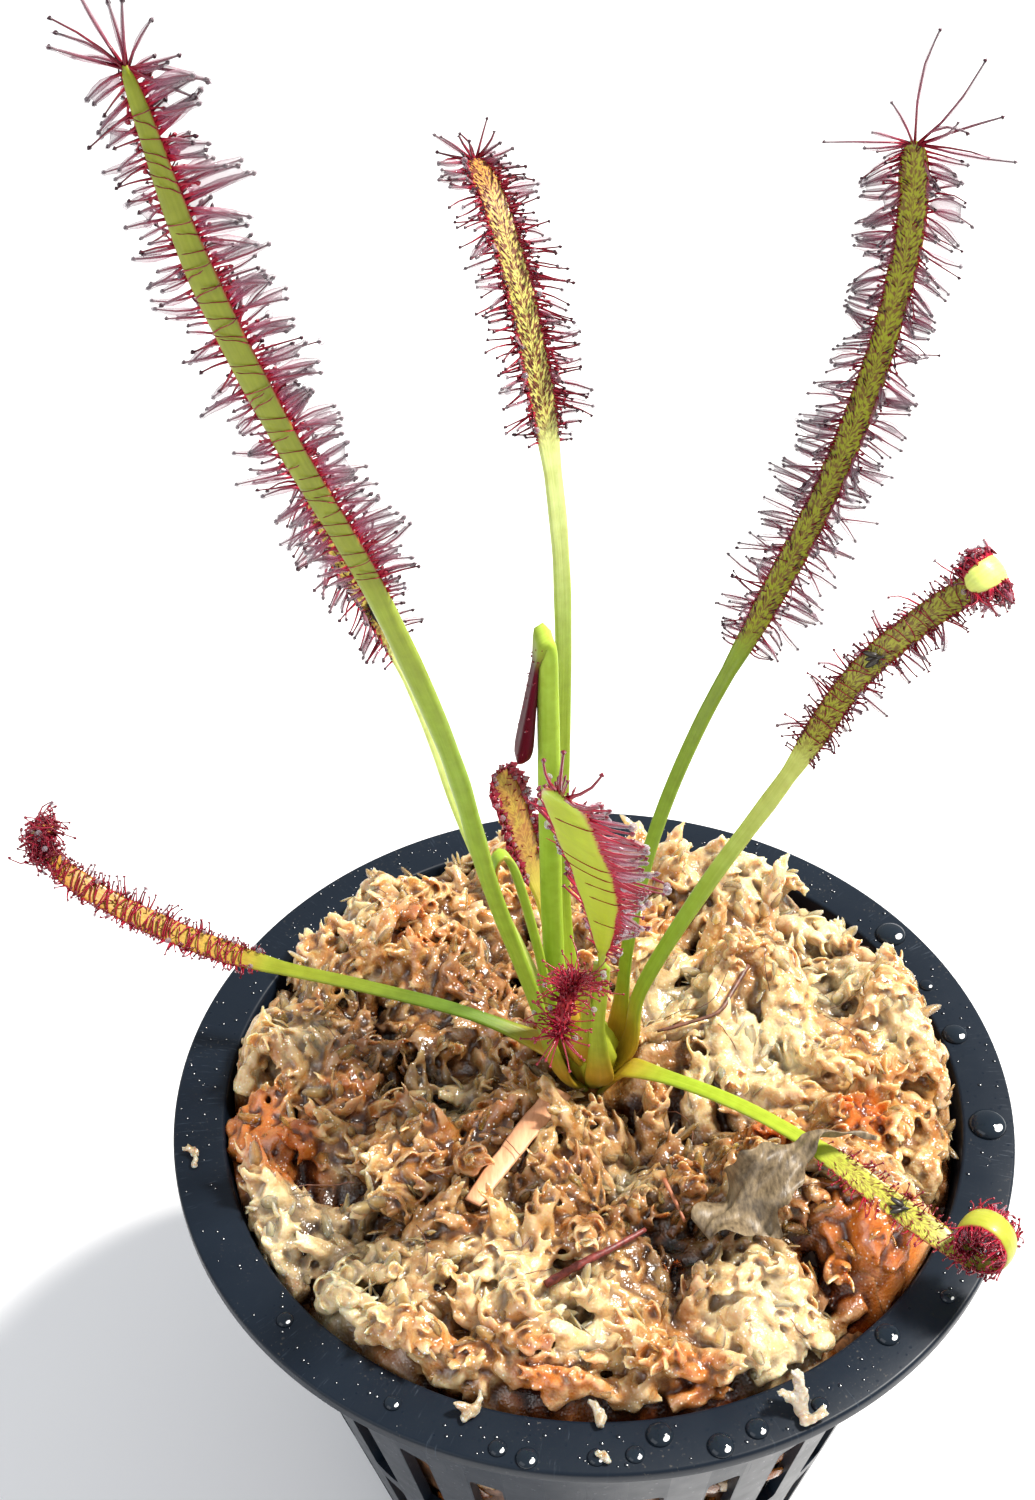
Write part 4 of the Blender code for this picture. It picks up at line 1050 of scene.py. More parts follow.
# %% [markdown]
# ### Melting the shoots together
# In the pot the wet leaflets stick to each other and to what is under them. Thousands of separate
# scales would look like dry rice. A voxel remesh does what the water does: it keeps the outer skin
# of everything that overlaps, and rounds the creases. Each quarter of the bed is melted with a slab
# of its own, which fills the bottom of the valleys, and then thinned where it is smooth. The marks
# are lost in the melting, so each new point asks its nearest old one, and a ridge is a point that
# stands out from its smoothed neighbourhood.

# %% Melting


def slab(first, last):
    """The filled bed of one quarter, as rings round a slice."""
    reach = np.linspace(0.3, 41.2, 46) * MM
    rings = []
    for turn in np.radians(np.linspace(first, last, 60)):
        way = np.array((math.cos(turn), math.sin(turn)))
        spots = reach[:, None] * way * (1 - wall_gap(way[None]) / (41 * MM))
        rough = draw.normal(0, 0.25 * MM, len(spots))
        top = (height_at(spots, moss_height) - 2.0 * MM + rough
               + inside(spots, AMBER) * 2.9 * MM - inside(spots, HOLLOW) * 3.6 * MM)
        under = np.column_stack([spots, height_at(spots) - 6.5 * MM])
        rings.append(np.vstack([np.column_stack([spots, top]), under[::-1]]))
    return np.array(rings)[None]


def read(items, name, columns, kind=np.float32):
    """Rows of numbers from all edges or points of a mesh."""
    values = np.empty(len(items) * columns, kind)
    items.foreach_get(name, values)
    return values.reshape(-1, columns)


def largest_part(mesh):
    """Delete all that hangs loose from the biggest skin, such as bubbles inside. Each point takes
    the lowest number among its neighbours until nothing changes, so a part ends with one number."""
    edges = read(mesh.edges, "vertices", 2, np.int32)
    part = np.arange(len(mesh.vertices))
    while True:
        low = np.minimum(part[edges[:, 0]], part[edges[:, 1]])
        fresh = part.copy()
        np.minimum.at(fresh, edges[:, 0], low)
        np.minimum.at(fresh, edges[:, 1], low)
        fresh = fresh[fresh]
        if (fresh == part).all():
            break
        part = fresh
    loose = part != np.bincount(part).argmax()
    whole = bmesh.new()
    whole.from_mesh(mesh)
    whole.verts.ensure_lookup_table()
    doomed = [whole.verts[index] for index in np.flatnonzero(loose)]
    bmesh.ops.delete(whole, geom=doomed, context="VERTS")
    whole.to_mesh(mesh)
    whole.free()


def relief(mesh, places):
    """How far each point stands out from its surroundings, smoothed eight times, along its normal."""
    one, other = read(mesh.edges, "vertices", 2, np.int32).T
    total = len(places)
    degree = (np.bincount(one, minlength=total) + np.bincount(other, minlength=total))[:, None]
    soft = places
    for _ in range(8):
        soft = np.stack([np.bincount(one, column[other], total)
                         + np.bincount(other, column[one], total) for column in soft.T], 1) / degree
    return ((places - soft) * read(mesh.vertices, "normal", 3)).sum(1)


def melted(name, heap, triangles, voxel=0.26 * MM, whole=True, finish=moss_wet):
    """The source's shapes as one skin, with the marks that the finish reads. Every third point of
    the source is enough to find the tone again."""
    item = heap.build(name, [])
    old = np.concatenate(heap.points)
    tone = np.zeros(len(old))
    for start, spread in heap.marks["tone"]:
        tone[start:start + len(spread)] = spread
    tree = KDTree(len(old) // 3 + 1)
    for index in range(0, len(old), 3):
        tree.insert(old[index], index)
    tree.balance()
    bpy.context.scene.collection.objects.link(item)
    melt = item.modifiers.new("melt", "REMESH")
    melt.mode = "VOXEL"
    melt.voxel_size = voxel
    soft = item.modifiers.new("soft", "SMOOTH")
    soft.factor = 0.5
    soft.iterations = 5
    applied(item)
    if whole:
        largest_part(item.data)
    count = 2 * len(item.data.polygons)
    thin = item.modifiers.new("thin", "DECIMATE")
    thin.ratio = min(1.0, triangles / count)
    applied(item)
    mesh = item.data
    places = read(mesh.vertices, "co", 3).astype(float)
    nearest = [tree.find(place)[1] for place in places]
    found = dict(zone_marks(places), tone=tone[nearest],
                 ridge=np.clip(0.5 + relief(mesh, places) / (0.44 * MM), 0, 1))
    for mark, values in found.items():
        attribute = mesh.attributes.new(mark, "FLOAT", "POINT")
        attribute.data.foreach_set("value", values.astype(np.float32))
    mesh.materials.clear()
    mesh.materials.append(finish.material)
    mesh.shade_smooth()
    print(name, "melted from", len(old), "points; skin had", count, "triangles; ridge",
          found["ridge"].mean().round(2), "depth", found["depth"].mean().round(2))
    settle(item, "moss_damp")


QUARTER_TRIANGLES = 121000
for index, name in enumerate(SECTORS):
    sources[name].add(slab(index * 90 - 45.5, index * 90 + 45.5), tone=0.8)
    melted(name, sources[name], QUARTER_TRIANGLES)

# %% [markdown]
# ### Thin leaflets on top
# The melted skin has the flesh of the moss but none of its thin edges. A share of the leaflets that
# look up is laid over it once more, thinner and narrower this time, and standing off at their tips.
# They let some light through, so their finish is the same with less alpha.

# %% Films
heap = Heap()
for films, hue in film_source:
    heap.add(films, tone=hue, ridge=0.66, **zone_marks(films.mean(axis=(1, 2))))
settle(heap.build("moss_leaflets", [moss_film]), "moss_damp")

# %% [markdown]
# ### The ground under the shoots
# Under the shoots the pot is full of wet brown fibre. A closed body fills it a little below the bed,
# lumpy on top and at its sides, where it shows through the slots.

# %% Ground
peat = Finish("moss_ground", Coat_Roughness=0.15)
here = peat.place()
strands = peat.clouds(here.scaled(1, 1, 0.35), 0.8, detail=4, rough=0.65)
color = peat.ramp(strands, (0.30, (0.012, 0.006, 0.004)), (0.75, (0.24, 0.095, 0.03)),
                  (0.751, (0.08, 0.03, 0.012)))
peat.show(Base_Color=color, Roughness=0.6 - strands * 0.2,
          Coat_Weight=strands.within(0.4, 0.6) * 0.25, height=strands, strength=0.9)
TURNS, GROUND_EDGE = 112, 41.3
angles = math.tau * np.arange(TURNS) / TURNS
circle = np.stack([np.cos(angles), np.sin(angles)], 1)
shells = []
for radius in np.linspace(0.4, GROUND_EDGE, 24) * MM:
    spots = radius * circle
    off_edge = np.clip((GROUND_EDGE * MM - radius) / (2 * MM), 0, 1)
    lumps = draw.normal(0, 0.35 * MM, TURNS) * off_edge - inside(spots, HOLLOW) * 1.8 * MM
    shells.append(np.column_stack([spots, height_at(spots) - 3.4 * MM + lumps]))
for height in np.arange(LIP / MM - 4, 2.4, -1.6) * MM:
    wall = wall_radius(height) - WALL - 0.45 * MM - np.abs(draw.normal(0, 0.35 * MM, TURNS))
    shells.append(np.column_stack([circle * wall[:, None], np.full(TURNS, height)]))
shells.append(np.column_stack([circle * wall[:, None] * 0.97, np.full(TURNS, 2 * MM)]))
from_the_floor = np.array(shells)[None][:, ::-1]
settle(skinned("moss_ground", peat, from_the_floor), "moss_damp", "moss_bed")

# %% [markdown]
# ### Moss in the slots
# From the side the moss shows through the slots of the wall. Leaflets lie against the inside of the
# wall there, pointing up and sideways, a few of them poking out.

# %% Slot moss
IN_EACH = 9
heap = Heap()
for low, high in SLOT_ROWS:
    count = IN_EACH * SLOTS
    angle = math.tau * (np.repeat(np.arange(SLOTS), IN_EACH) + 0.5) / SLOTS
    angle = angle + draw.uniform(-0.062, 0.062, count)
    height = draw.uniform(low - 1 * MM, high + 0.5 * MM, count)
    outward = np.stack([np.cos(angle), np.sin(angle), np.zeros(count)], 1)
    sideways = np.stack([-np.sin(angle), np.cos(angle), np.zeros(count)], 1)
    base = outward * (wall_radius(height) - WALL - draw.uniform(0.3, 0.7, count) * MM)[:, None]
    base[:, 2] = height
    tilt = draw.normal(0.4, 0.9, count)[:, None]
    aim = unit(sideways * np.sin(tilt) + (0, 0, 1) * np.cos(tilt)
               + outward * draw.uniform(0, 0.3, (count, 1)))
    rings = leaflets(base, aim, squared(outward, aim), draw.uniform(3.0, 5.0, count) * MM,
                     draw.uniform(2.0, 3.2, count) * MM, draw.uniform(0.1, 0.5, count),
                     draw.normal(0, 0.08, count))
    # Painted shade inside the wall: a low depth and a share of painted shadow darken these leaflets.
    heap.add(rings, tone=draw.uniform(0.2, 1, count), rusty=draw.uniform(0, 0.7, count),
             creamy=0, peaty=0.4, ridge=0.6, depth=draw.uniform(0.35, 0.8, count))
settle(heap.build("moss_in_slots", [moss_wet]), "moss_damp")

# %% [markdown]
# ## Leaf finish
# A sundew's stalk is smooth and lime green, a little glassy, with faint lines along it, and paler
# where it nears the blade. The blade is yellower, its face hatched dark red where the small
# tentacles stand, and crimson along its edges. An old leaf turns orange, from its tip inwards. One
# helper makes the finish, and a table gives each leaf its colours.

# %% Leaf finish


def leaf_finish(name, stalk, collar, blade, back, flush, hatched, sheen=1.0, ripe=0.0, rim=0.8):
    """A leaf's skin from its foot to its tip. The marks say how many millimetres past the start of
    the blade a point lies, how far across (-1 to 1), on which face, and how near the foot."""
    leaf = Finish(name, Subsurface_Weight=0.25, Subsurface_Radius=(0.6, 0.8, 0.15),
                  Subsurface_Scale=0.6 * MM, IOR=1.42, Specular_IOR_Level=0.35 * sheen,
                  Coat_Roughness=0.12)
    here = leaf.place()
    past, across, face, foot = map(leaf.mark, ("past", "across", "face", "foot"))
    grown = past.within(-2.0, 3.0)
    sticky = face.within(0.35, 0.65)
    lines = leaf.node("CombineXYZ", {}, {"X": across * 4.5, "Y": past * 0.10, "Z": face})
    veins = leaf.clouds(lines, 1, detail=2)
    mottle = leaf.clouds(here, 1.3, detail=3)
    color = leaf.mix(past.within(-26.0, -2.0), stalk, collar)
    color = leaf.mix(foot * 0.85, color, (0.62, 0.34, 0.035))
    color = leaf.mix(grown, color, leaf.mix(sticky, back, blade))
    color = leaf.tint(0.6, color, leaf.ramp(veins, (0.30, (0.72, 0.78, 0.50)), (0.7, (1, 1, 1))))
    color = leaf.tint(0.6, color, leaf.ramp(mottle, (0.3, (0.74, 0.70, 0.50)), (0.7, (1, 1, 1))))
    color = leaf.mix(past.within(11, 30) * ripe, color, (0.52, 0.17, 0.03))
    beside = across.maths("ABSOLUTE", across)
    slanting = leaf.node("CombineXYZ", {}, {"X": beside * 6.0 - past * 2.3, "Y": past * 1.5 + beside,
                                            "Z": across.within(-0.1, 0.1) * 5})
    dashes = leaf.clouds(slanting, 1, detail=1).within(0.46, 0.56) * grown * sticky
    color = leaf.mix(dashes * hatched, color, (0.13, 0.016, 0.012))
    edge = (across * across + mottle * 0.3).within(0.84, 1.16) * grown
    blush = (flush * grown * (mottle + across * across * 0.5).within(0.25, 0.75)).least(1.0)
    color = leaf.mix((edge * rim + blush).least(1.0), color, (0.36, 0.012, 0.03))
    leaf.show(Base_Color=color, Roughness=0.34 + mottle * 0.14, Coat_Weight=veins * (0.3 * sheen),
              height=veins * 0.8 + leaf.clouds(here, 0.25) * 0.4, strength=0.35)
    return leaf


LIME = (0.36, 0.49, 0.04)
COLOURS = {
    # slot, stalk, collar, sticky face, smooth back, how far the red has spread, how dark the face
    #     is hatched, and for some how much it shines, how orange its tip is and how red its edge
    # The stalk of low_left is a darker green than the others: painted shade, as it runs low and shaded
    # over the moss.
    "low_left": ("leaf_orange", (0.17, 0.28, 0.02), (0.30, 0.34, 0.02), (0.58, 0.41, 0.05),
        (0.60, 0.44, 0.07), 0.20, 0.25, 1.0, 0.4),
    "low_right": ("leaf_green", (0.33, 0.45, 0.03), (0.40, 0.50, 0.03), (0.52, 0.52, 0.07),
        (0.42, 0.43, 0.045), 0.0, 0.55),
    "tall_left": ("leaf_green", (0.27, 0.39, 0.03), (0.28, 0.35, 0.02), (0.62, 0.46, 0.05),
        (0.25, 0.28, 0.010), 0.0, 0.5),
    "tall_right": ("leaf_olive", (0.27, 0.39, 0.03), (0.22, 0.30, 0.02), (0.35, 0.37, 0.014),
        (0.40, 0.46, 0.02), 0.0, 0.75, 1.0, 0.0, 0.5),
    "mid_right": ("leaf_green", (0.33, 0.46, 0.045), (0.62, 0.66, 0.18), (0.44, 0.44, 0.035),
        (0.74, 0.82, 0.22), 0.02, 0.7, 1.0, 0.0, 0.5),
    "back": ("leaf_yellow", LIME, (0.64, 0.70, 0.30), (0.66, 0.63, 0.18), (0.60, 0.62, 0.15), 0.03,
        0.9, 1.0, 0.8),
    "behind_left": ("leaf_yellow", (0.60, 0.70, 0.20), (0.74, 0.80, 0.30), (0.62, 0.52, 0.12),
        (0.60, 0.58, 0.15), 0.1, 0.5),
    "front": ("leaf_green", LIME, (0.36, 0.48, 0.035), (0.40, 0.42, 0.04), (0.42, 0.52, 0.03), 0.0,
        0.5),
    "young_back": ("leaf_orange", (0.42, 0.47, 0.05), (0.62, 0.50, 0.07), (0.66, 0.47, 0.08),
        (0.60, 0.42, 0.07), 0.42, 0.45),
    "unfolding": ("leaf_green", (0.34, 0.49, 0.055), (0.40, 0.55, 0.08), (0.075, 0.002, 0.012),
        (0.075, 0.002, 0.012), 0.0, 0.0, 0.12, 0.0, 0.1),
    "small_hook": ("leaf_green", LIME, (0.34, 0.48, 0.05), (0.30, 0.42, 0.04), (0.30, 0.42, 0.04),
        0.0, 0.0),
    "young_front": ("leaf_green", LIME, (0.32, 0.34, 0.03), (0.55, 0.05, 0.06), (0.40, 0.36, 0.03),
        0.7, 0.0),
}
skins = {name: leaf_finish("skin_" + name, *colours) for name, (_, *colours) in COLOURS.items()}
print("leaf finishes:", len(skins))

# %% [markdown]
# ## Leaf bodies
# In section a leaf is a lens with a shallow channel along its face. One ring of sixteen points at
# each station gives that, and the skin helper closes it. The blade's edge wavers a little, so the
# width is multiplied by a slow random curve.

# %% Leaf bodies
RING = math.tau * np.arange(16) / 16
CHANNEL = 0.32  # how deep the face is hollowed, as a share of the thickness


def leaf_rings(rib):
    """Rings of one leaf, hollowed on the face."""
    stations = len(rib["point"])
    coarse = np.arange(0, stations + 6, 6)
    waver = 1 + 0.05 * np.interp(np.arange(stations), coarse, draw.uniform(-1, 1, len(coarse)))
    x = np.cos(RING) * (rib["width"] * waver / 2)[:, None]
    hollow = 2 * CHANNEL * np.maximum(np.sin(RING), 0) ** 2
    y = (np.sin(RING) - hollow) * (rib["thickness"] / 2)[:, None]
    return (rib["point"][:, None] + x[..., None] * rib["across"][:, None]
            + y[..., None] * rib["face"][:, None])


leaf_heaps = {}
for name, rib in ribs.items():
    leaf_heaps[name] = Heap()
    leaf_heaps[name].add(leaf_rings(rib)[None], past=(rib["past"] / MM)[None],
                         across=np.cos(RING)[None, None], face=(np.sin(RING)[None, None] + 1) / 2,
                         foot=rib["foot"][None])
print("leaf bodies:", len(leaf_heaps))

# %% [markdown]
# ## Tentacle finishes
# A tentacle is a crimson hair with a dark gland at its end. The glue on it is clear and faintly
# pink, and hangs along the hair like a sleeve, or as a web between neighbours that have touched.
# Real glass would need many bounces of light through thousands of drops, so the glue is a glossy
# film instead: nearly clear where it faces the eye, and greyer at its rim, which the Layer Weight
# node gives.

# %% Tentacle finishes
hair = Finish("tentacle_hair", IOR=1.45)
along = hair.mark("along")
here = hair.place()
red = hair.ramp(along, (0.0, (0.42, 0.010, 0.035)), (0.999, (0.030, 0.010, 0.018)),
                (1.0, (0.09, 0.010, 0.028)))
shade = hair.ramp(hair.clouds(here, 0.8), (0.3, (0.55, 0.55, 0.55)), (0.7, (1, 1, 1)))
hair.show(Base_Color=hair.tint(0.6, red, shade), Roughness=0.22 + along * 0.05,
          height=hair.clouds(here, 0.12), strength=0.2)

glue = Finish("clear_glue", IOR=1.36, Roughness=0.05)
along = glue.mark("along")
rim = glue.node("LayerWeight", {}, {"Blend": 0.35}, output="Facing")
tint = glue.ramp(along, (0.0, (0.44, 0.05, 0.14)), (0.999, (0.34, 0.31, 0.33)),
                 (1.0, (0.40, 0.34, 0.38)))
glue.show(Base_Color=tint, Alpha=0.26 + rim * 0.50)
print("tentacle finishes made")

# %% [markdown]
# ## One tentacle, many times
# A tentacle is a curve with three control points: its root, a middle that says how it leaves the
# leaf, and its head. The tube along it tapers, then swells into the gland over the last half
# millimetre, whatever its length. The sleeve of glue is a wider tube on the same curve, and a web is
# a thin film between two curves.

# %% Tentacle shapes
HAIR_RADII = np.array((0.150, 0.105, 0.085, 0.070, 0.085, 0.190, 0.165, 0.050)) * MM
HAIR_TONE = np.array((0, 0.25, 0.5, 0.75, 0.88, 0.97, 1, 1))
GLAND = 0.46 * MM  # the last stretch of a hair, which swells
GLUE_AT = np.array((0.08, 0.26, 0.48, 0.70, 0.87, 0.97, 1.03))
GLUE_SHAPE = np.array((0.14, 0.60, 1.0, 0.90, 0.62, 0.68, 0.10))
WEB_AT = np.array((0.10, 0.30, 0.50, 0.70, 0.88))
DROP_AT = np.array((-0.98, -0.6, 0, 0.6, 0.98))


def hair_lines(root, middle, head, stops):
    """Curves from roots to heads. Stops are shares of the way, the same for all or a row for each."""
    t = np.atleast_2d(stops)[..., None]
    return root[:, None] * (1 - t) ** 2 + middle[:, None] * 2 * t * (1 - t) + head[:, None] * t ** 2


def add_tentacles(heap, root, middle, head, thick, ripe, glue_size, webbed=None, drops=0.0,
                  dark=0.0):
    """Hairs with glands, sleeves where glue_size is over 0, webs from each webbed hair to the next,
    and a share of round drops. thick may be a pair: for the hair and for its gland. dark is where on
    the scale from crimson to nearly black the root already stands."""
    thick, gland_by = thick if isinstance(thick, tuple) else (thick, min(thick, 1.1))
    length = np.linalg.norm(head - root, axis=1)
    gland = np.minimum(0.5, GLAND / np.maximum(length, 0.3 * MM))[:, None]
    stops = np.concatenate([np.array((0, 0.33, 0.66, 1)) * (1 - gland),
                            1 - gland * (0.72, 0.48, 0.2, 0)], axis=1)
    radii = HAIR_RADII * np.where(np.arange(8) < 4, thick, gland_by)
    radii = radii * draw.uniform(0.85, 1.15, (len(root), 1))
    heap.add(tubes(hair_lines(root, middle, head, stops), radii, 3), HAIR,
             along=(dark + (1 - dark) * HAIR_TONE[None]) * ripe)
    wet = glue_size > 0
    if wet.any():
        sleeves = hair_lines(root[wet], middle[wet], head[wet], GLUE_AT)
        heap.add(tubes(sleeves, GLUE_SHAPE * glue_size[wet, None], 5), GLUE, along=GLUE_AT[None])
    if webbed is not None and webbed[:-1].any():
        first = np.flatnonzero(webbed[:-1])
        left = hair_lines(root[first], middle[first], head[first], WEB_AT)
        other = hair_lines(root[first + 1], middle[first + 1], head[first + 1], WEB_AT)
        flat = unit(np.cross(other - left, np.gradient(left, axis=1))) * 0.05 * MM
        heap.add(np.stack([left + flat, other + flat, other - flat, left - flat], axis=2), GLUE,
                 along=WEB_AT[None])
    beaded = draw.uniform(0, 1, len(root)) < drops
    if beaded.any():
        size = draw.uniform(0.18, 0.36, (beaded.sum(), 1)) * MM
        hops = unit(head - middle)[beaded][:, None] * (DROP_AT * size)[..., None]
        heap.add(tubes(head[beaded][:, None] + hops, np.sqrt(1 - DROP_AT ** 2) * size, 6), GLUE,
                 along=1)


def at_distance(rib, distance):
    """The rib's stations blended to each distance past the start of the blade."""
    found = {}
    for key, values in rib.items():
        blend = blended(distance, rib["past"], values.reshape(len(values), -1))
        found[key] = unit(blend) if key in ("along", "across", "face") else blend
    return found


print("one tentacle has", len(HAIR_RADII) * 3, "points, its sleeve", len(GLUE_AT) * 5)

# %% [markdown]
# ## How each leaf carries its tentacles
# Fresh leaves hold theirs out straight, wet and bunched at the heads by their own glue. Old leaves
# have caught something: their tentacles are short, thick and curled over the face. The table says
# how far apart they stand, how thick they are, how much they curl, how many carry glue, how much
# they bunch, and how ripe, that is how dark, their heads are. Where the two edges of a leaf differ
# there is a pair of numbers. Then come the small ones on each millimetre of the face, and whether
# they stand up as stubs or lie flat as a hatching, the spacing of a short crimson row along the
# margin, and the hairs that cross the leaf. Some carry round drops, some end in a ball of
# tentacles, and four have the long rays of their tip listed one by one, as angles and lengths.

# %% Habits
HABITS = {
    "low_left": dict(every=0.37, thick=1.15, curl=0.62, wet=0.06, bunch=0.1, ripe=0.62, small=2,
        drops=0.10, wild=0.35, crossing=(84, 1, 1.35), ball=(240, 6.5, 2.7, 1.5)),
    "low_right": dict(every=0.70, thick=0.95, curl=0.35, wet=0.06, bunch=0.1, ripe=0.5, small=7,
        hatch=0.9, wild=0.2, ball=(90, 17.0, 2.4)),
    "tall_left": dict(every=(0.52, 0.44), thick=1.05, curl=0.0, wet=(0.8, 0.95), bunch=(0.25, 0.6),
        ripe=1, small=4, margin=(2.0, 0.42), crossing=(40, -1, 0.62), drops=0.05,
        sweep=(-0.30, 0.10), rays=((-86, 0.85), (-67, 0.95), (-57, 0.85), (-38, 1.0), (-29, 1.15),
        (-7, 0.8), (7, 0.75), (35, 0.7), (92, 0.5), (109, 0.85), (120, 0.75))),
    "tall_right": dict(every=(0.54, 0.47), thick=1.0, curl=0.12, wet=0.9, bunch=0.8, ripe=1,
        small=5, hatch=0.8, margin=1.2, drops=0.08, sweep=-0.1, rays=((0, 1.5), (-36, 1.25),
        (-46, 0.8), (-56, 1.1), (-66, 0.75), (-80, 1.3), (-97, 0.85), (28, 0.5), (62, 0.7),
        (86, 1.05), (112, 0.6))),
    "mid_right": dict(every=0.38, thick=1.1, curl=0.5, wet=0.35, bunch=0.3, ripe=0.75, small=6,
        hatch=0.9, drops=0.05, wild=0.3, crossing=(30, 1, 0.9), ball=(60, 8.0, 2.6)),
    "back": dict(every=0.40, thick=1.25, curl=0.15, wet=0.45, bunch=0.35, ripe=0.95, small=0,
        hatch=1.0, margin=0.26, drops=0.06, rows=0.42, sweep=(-0.30, -0.10)),
    "behind_left":
        dict(every=0.56, thick=1.10, curl=0.1, wet=0.6, bunch=0.3, ripe=1, small=8, sweep=-0.3),
    "front": dict(every=(1.0, 0.70), thick=1.2, curl=0.25, wet=(0.1, 0.3), bunch=(0.2, 0.8),
        ripe=0.62, small=3, crossing=(7, -1, 0.6), drops=0.35, wild=0.40, reach=(0.62, 1.0),
        rays=((-50, 0.5), (-15, 0.6), (12, 0.9), (30, 1.1), (48, 0.8))),
    "young_back": dict(every=0.34, thick=(1.3, 3.0), curl=0.8, wet=0.45, bunch=0.2, ripe=0.42,
        small=2, drops=0.25, wild=0.3),
    "unfolding": dict(every=2.60, thick=1.10, curl=1.0, wet=0.1, bunch=0.0, ripe=0.5, small=1,
        rays=((0, 0.5),)),
    "young_front": dict(every=0.80, thick=0.80, curl=0.1, wet=0.0, bunch=0.2, ripe=0.4, small=16,
        drops=0.03, ball=(130, 19.0, 3.3)),
}


def pair(value):
    """A habit for each edge of the leaf."""
    return value if isinstance(value, tuple) else (value, value)


def fringe(heap, rib, habit, low, high, spaced, reach, lifts, inset):
    """One row of tentacles on each edge, between two distances along the blade. lifts is the range
    of their angle over the face in degrees, and inset is how far from the edge they stand."""
    wild = habit.get("wild", 0.1)
    for hand, every, wetness, bunch, sweep, share in zip(
            (-1, 1), *(pair(habit.get(key, plain)) for key, plain in
                       (("every", 1), ("wet", 0), ("bunch", 0), ("sweep", 0.06), ("reach", 1)))):
        every *= spaced * MM
        distance = np.arange(low, high, every)
        distance = np.sort(distance + draw.uniform(-0.45, 0.45, len(distance)) * every)
        distance = distance[draw.uniform(0, 1, len(distance)) > 0.08]
        count = len(distance)
        spot = at_distance(rib, distance)
        lift = np.radians(draw.uniform(*lifts, count))[:, None]
        group = np.cumsum(draw.uniform(0, 1, count) < 0.34)
        forward = draw.normal(sweep, 0.20, (count, 1)) + draw.normal(0, wild, count)[group][:, None]
        way = unit(spot["across"] * hand * np.cos(lift) + spot["face"] * np.sin(lift)
                   + spot["along"] * forward)
        length = reach * share * np.clip(0.5 + distance / (5 * MM), 0.4, 1)
        length = length * draw.choice((1.0, 0.92, 0.8, 0.62), count)
        length = length * (1 + draw.uniform(-2, 1, count)[group] * wild)
        length = (length * draw.uniform(0.85, 1.12, count))[:, None]
        root = spot["point"] + spot["across"] * hand * spot["width"] * (0.5 - inset)
        curl = habit["curl"] * draw.uniform(0.5, 1.2, (count, 1))
        middle = root + way * length * (0.5 + 0.1 * curl) + draw.normal(0, 0.05, (count, 3)) * length
        head = (root + way * length * (1 - 0.62 * curl) + spot["face"] * length * 0.55 * curl
                - spot["across"] * hand * length * 0.25 * curl
                + draw.normal(0, 0.09, (count, 3)) * length - (0, 0, 1) * length * 0.04)
        mean = np.stack([np.bincount(group, column) / np.maximum(np.bincount(group), 1)
                         for column in head.T], 1)
        head = head + (mean[group] - head) * bunch * draw.uniform(0.4, 1, (count, 1))
        wet = draw.uniform(0, 1, count) < wetness
        size = draw.uniform(0.20, 0.40, count) * np.clip(length[:, 0] / (3.6 * MM), 0.4, 1.1) * MM
        webbed = np.append((group[1:] == group[:-1]) & wet[1:] & wet[:-1], False)
        webbed &= draw.uniform(0, 1, count) < bunch * 1.6
        apart = (np.linalg.norm(np.diff(head, axis=0), axis=1)
                 + np.linalg.norm(np.diff(root, axis=0), axis=1))
        webbed[:-1] &= apart < 1.9 * MM
        add_tentacles(heap, root, middle, head, habit["thick"], habit["ripe"],
                      np.where(wet, size, 0), webbed, habit.get("drops", 0))


def fan(heap, rib, tip, habit):
    """The long tentacles at the tip, unruly in length and bend. A habit may list angles and shares
    of the length."""
    last = {key: values[-1] for key, values in rib.items()}
    random = [(angle + draw.normal(0, 9), draw.choice((1.0, 0.9, 0.7, 0.45)))
              for angle in np.linspace(-84, 84, 11)]
    spread, share = np.array(habit.get("rays", random)).T[..., None]
    rays, spread = len(spread), np.radians(spread)
    lift = np.radians(draw.uniform(-16, 44, rays))[:, None]
    way = unit((last["along"] * np.cos(spread) + last["across"] * np.sin(spread)) * np.cos(lift)
               + last["face"] * np.sin(lift))
    root = (last["point"] - last["along"] * 0.2 * MM
            + last["across"] * np.sin(spread) * last["width"] * 0.4)
    length = tip * share * draw.uniform(0.95, 1.05, (rays, 1))
    middle = root + (way * 0.55 + draw.normal(0, 0.06, (rays, 3))) * length
    head = (root + way * length * (1 - 0.5 * habit["curl"])
            + (draw.normal(0, 0.12, (rays, 3)) + last["face"] * 0.4 * habit["curl"]) * length)
    wet = draw.uniform(0, 1, rays) < pair(habit["wet"])[0]
    size = np.where(wet, draw.uniform(0.14, 0.26, rays), 0) * MM
    add_tentacles(heap, root, middle, head, pair(habit["thick"])[0] * 1.15, habit["ripe"], size,
                  dark=0.4)


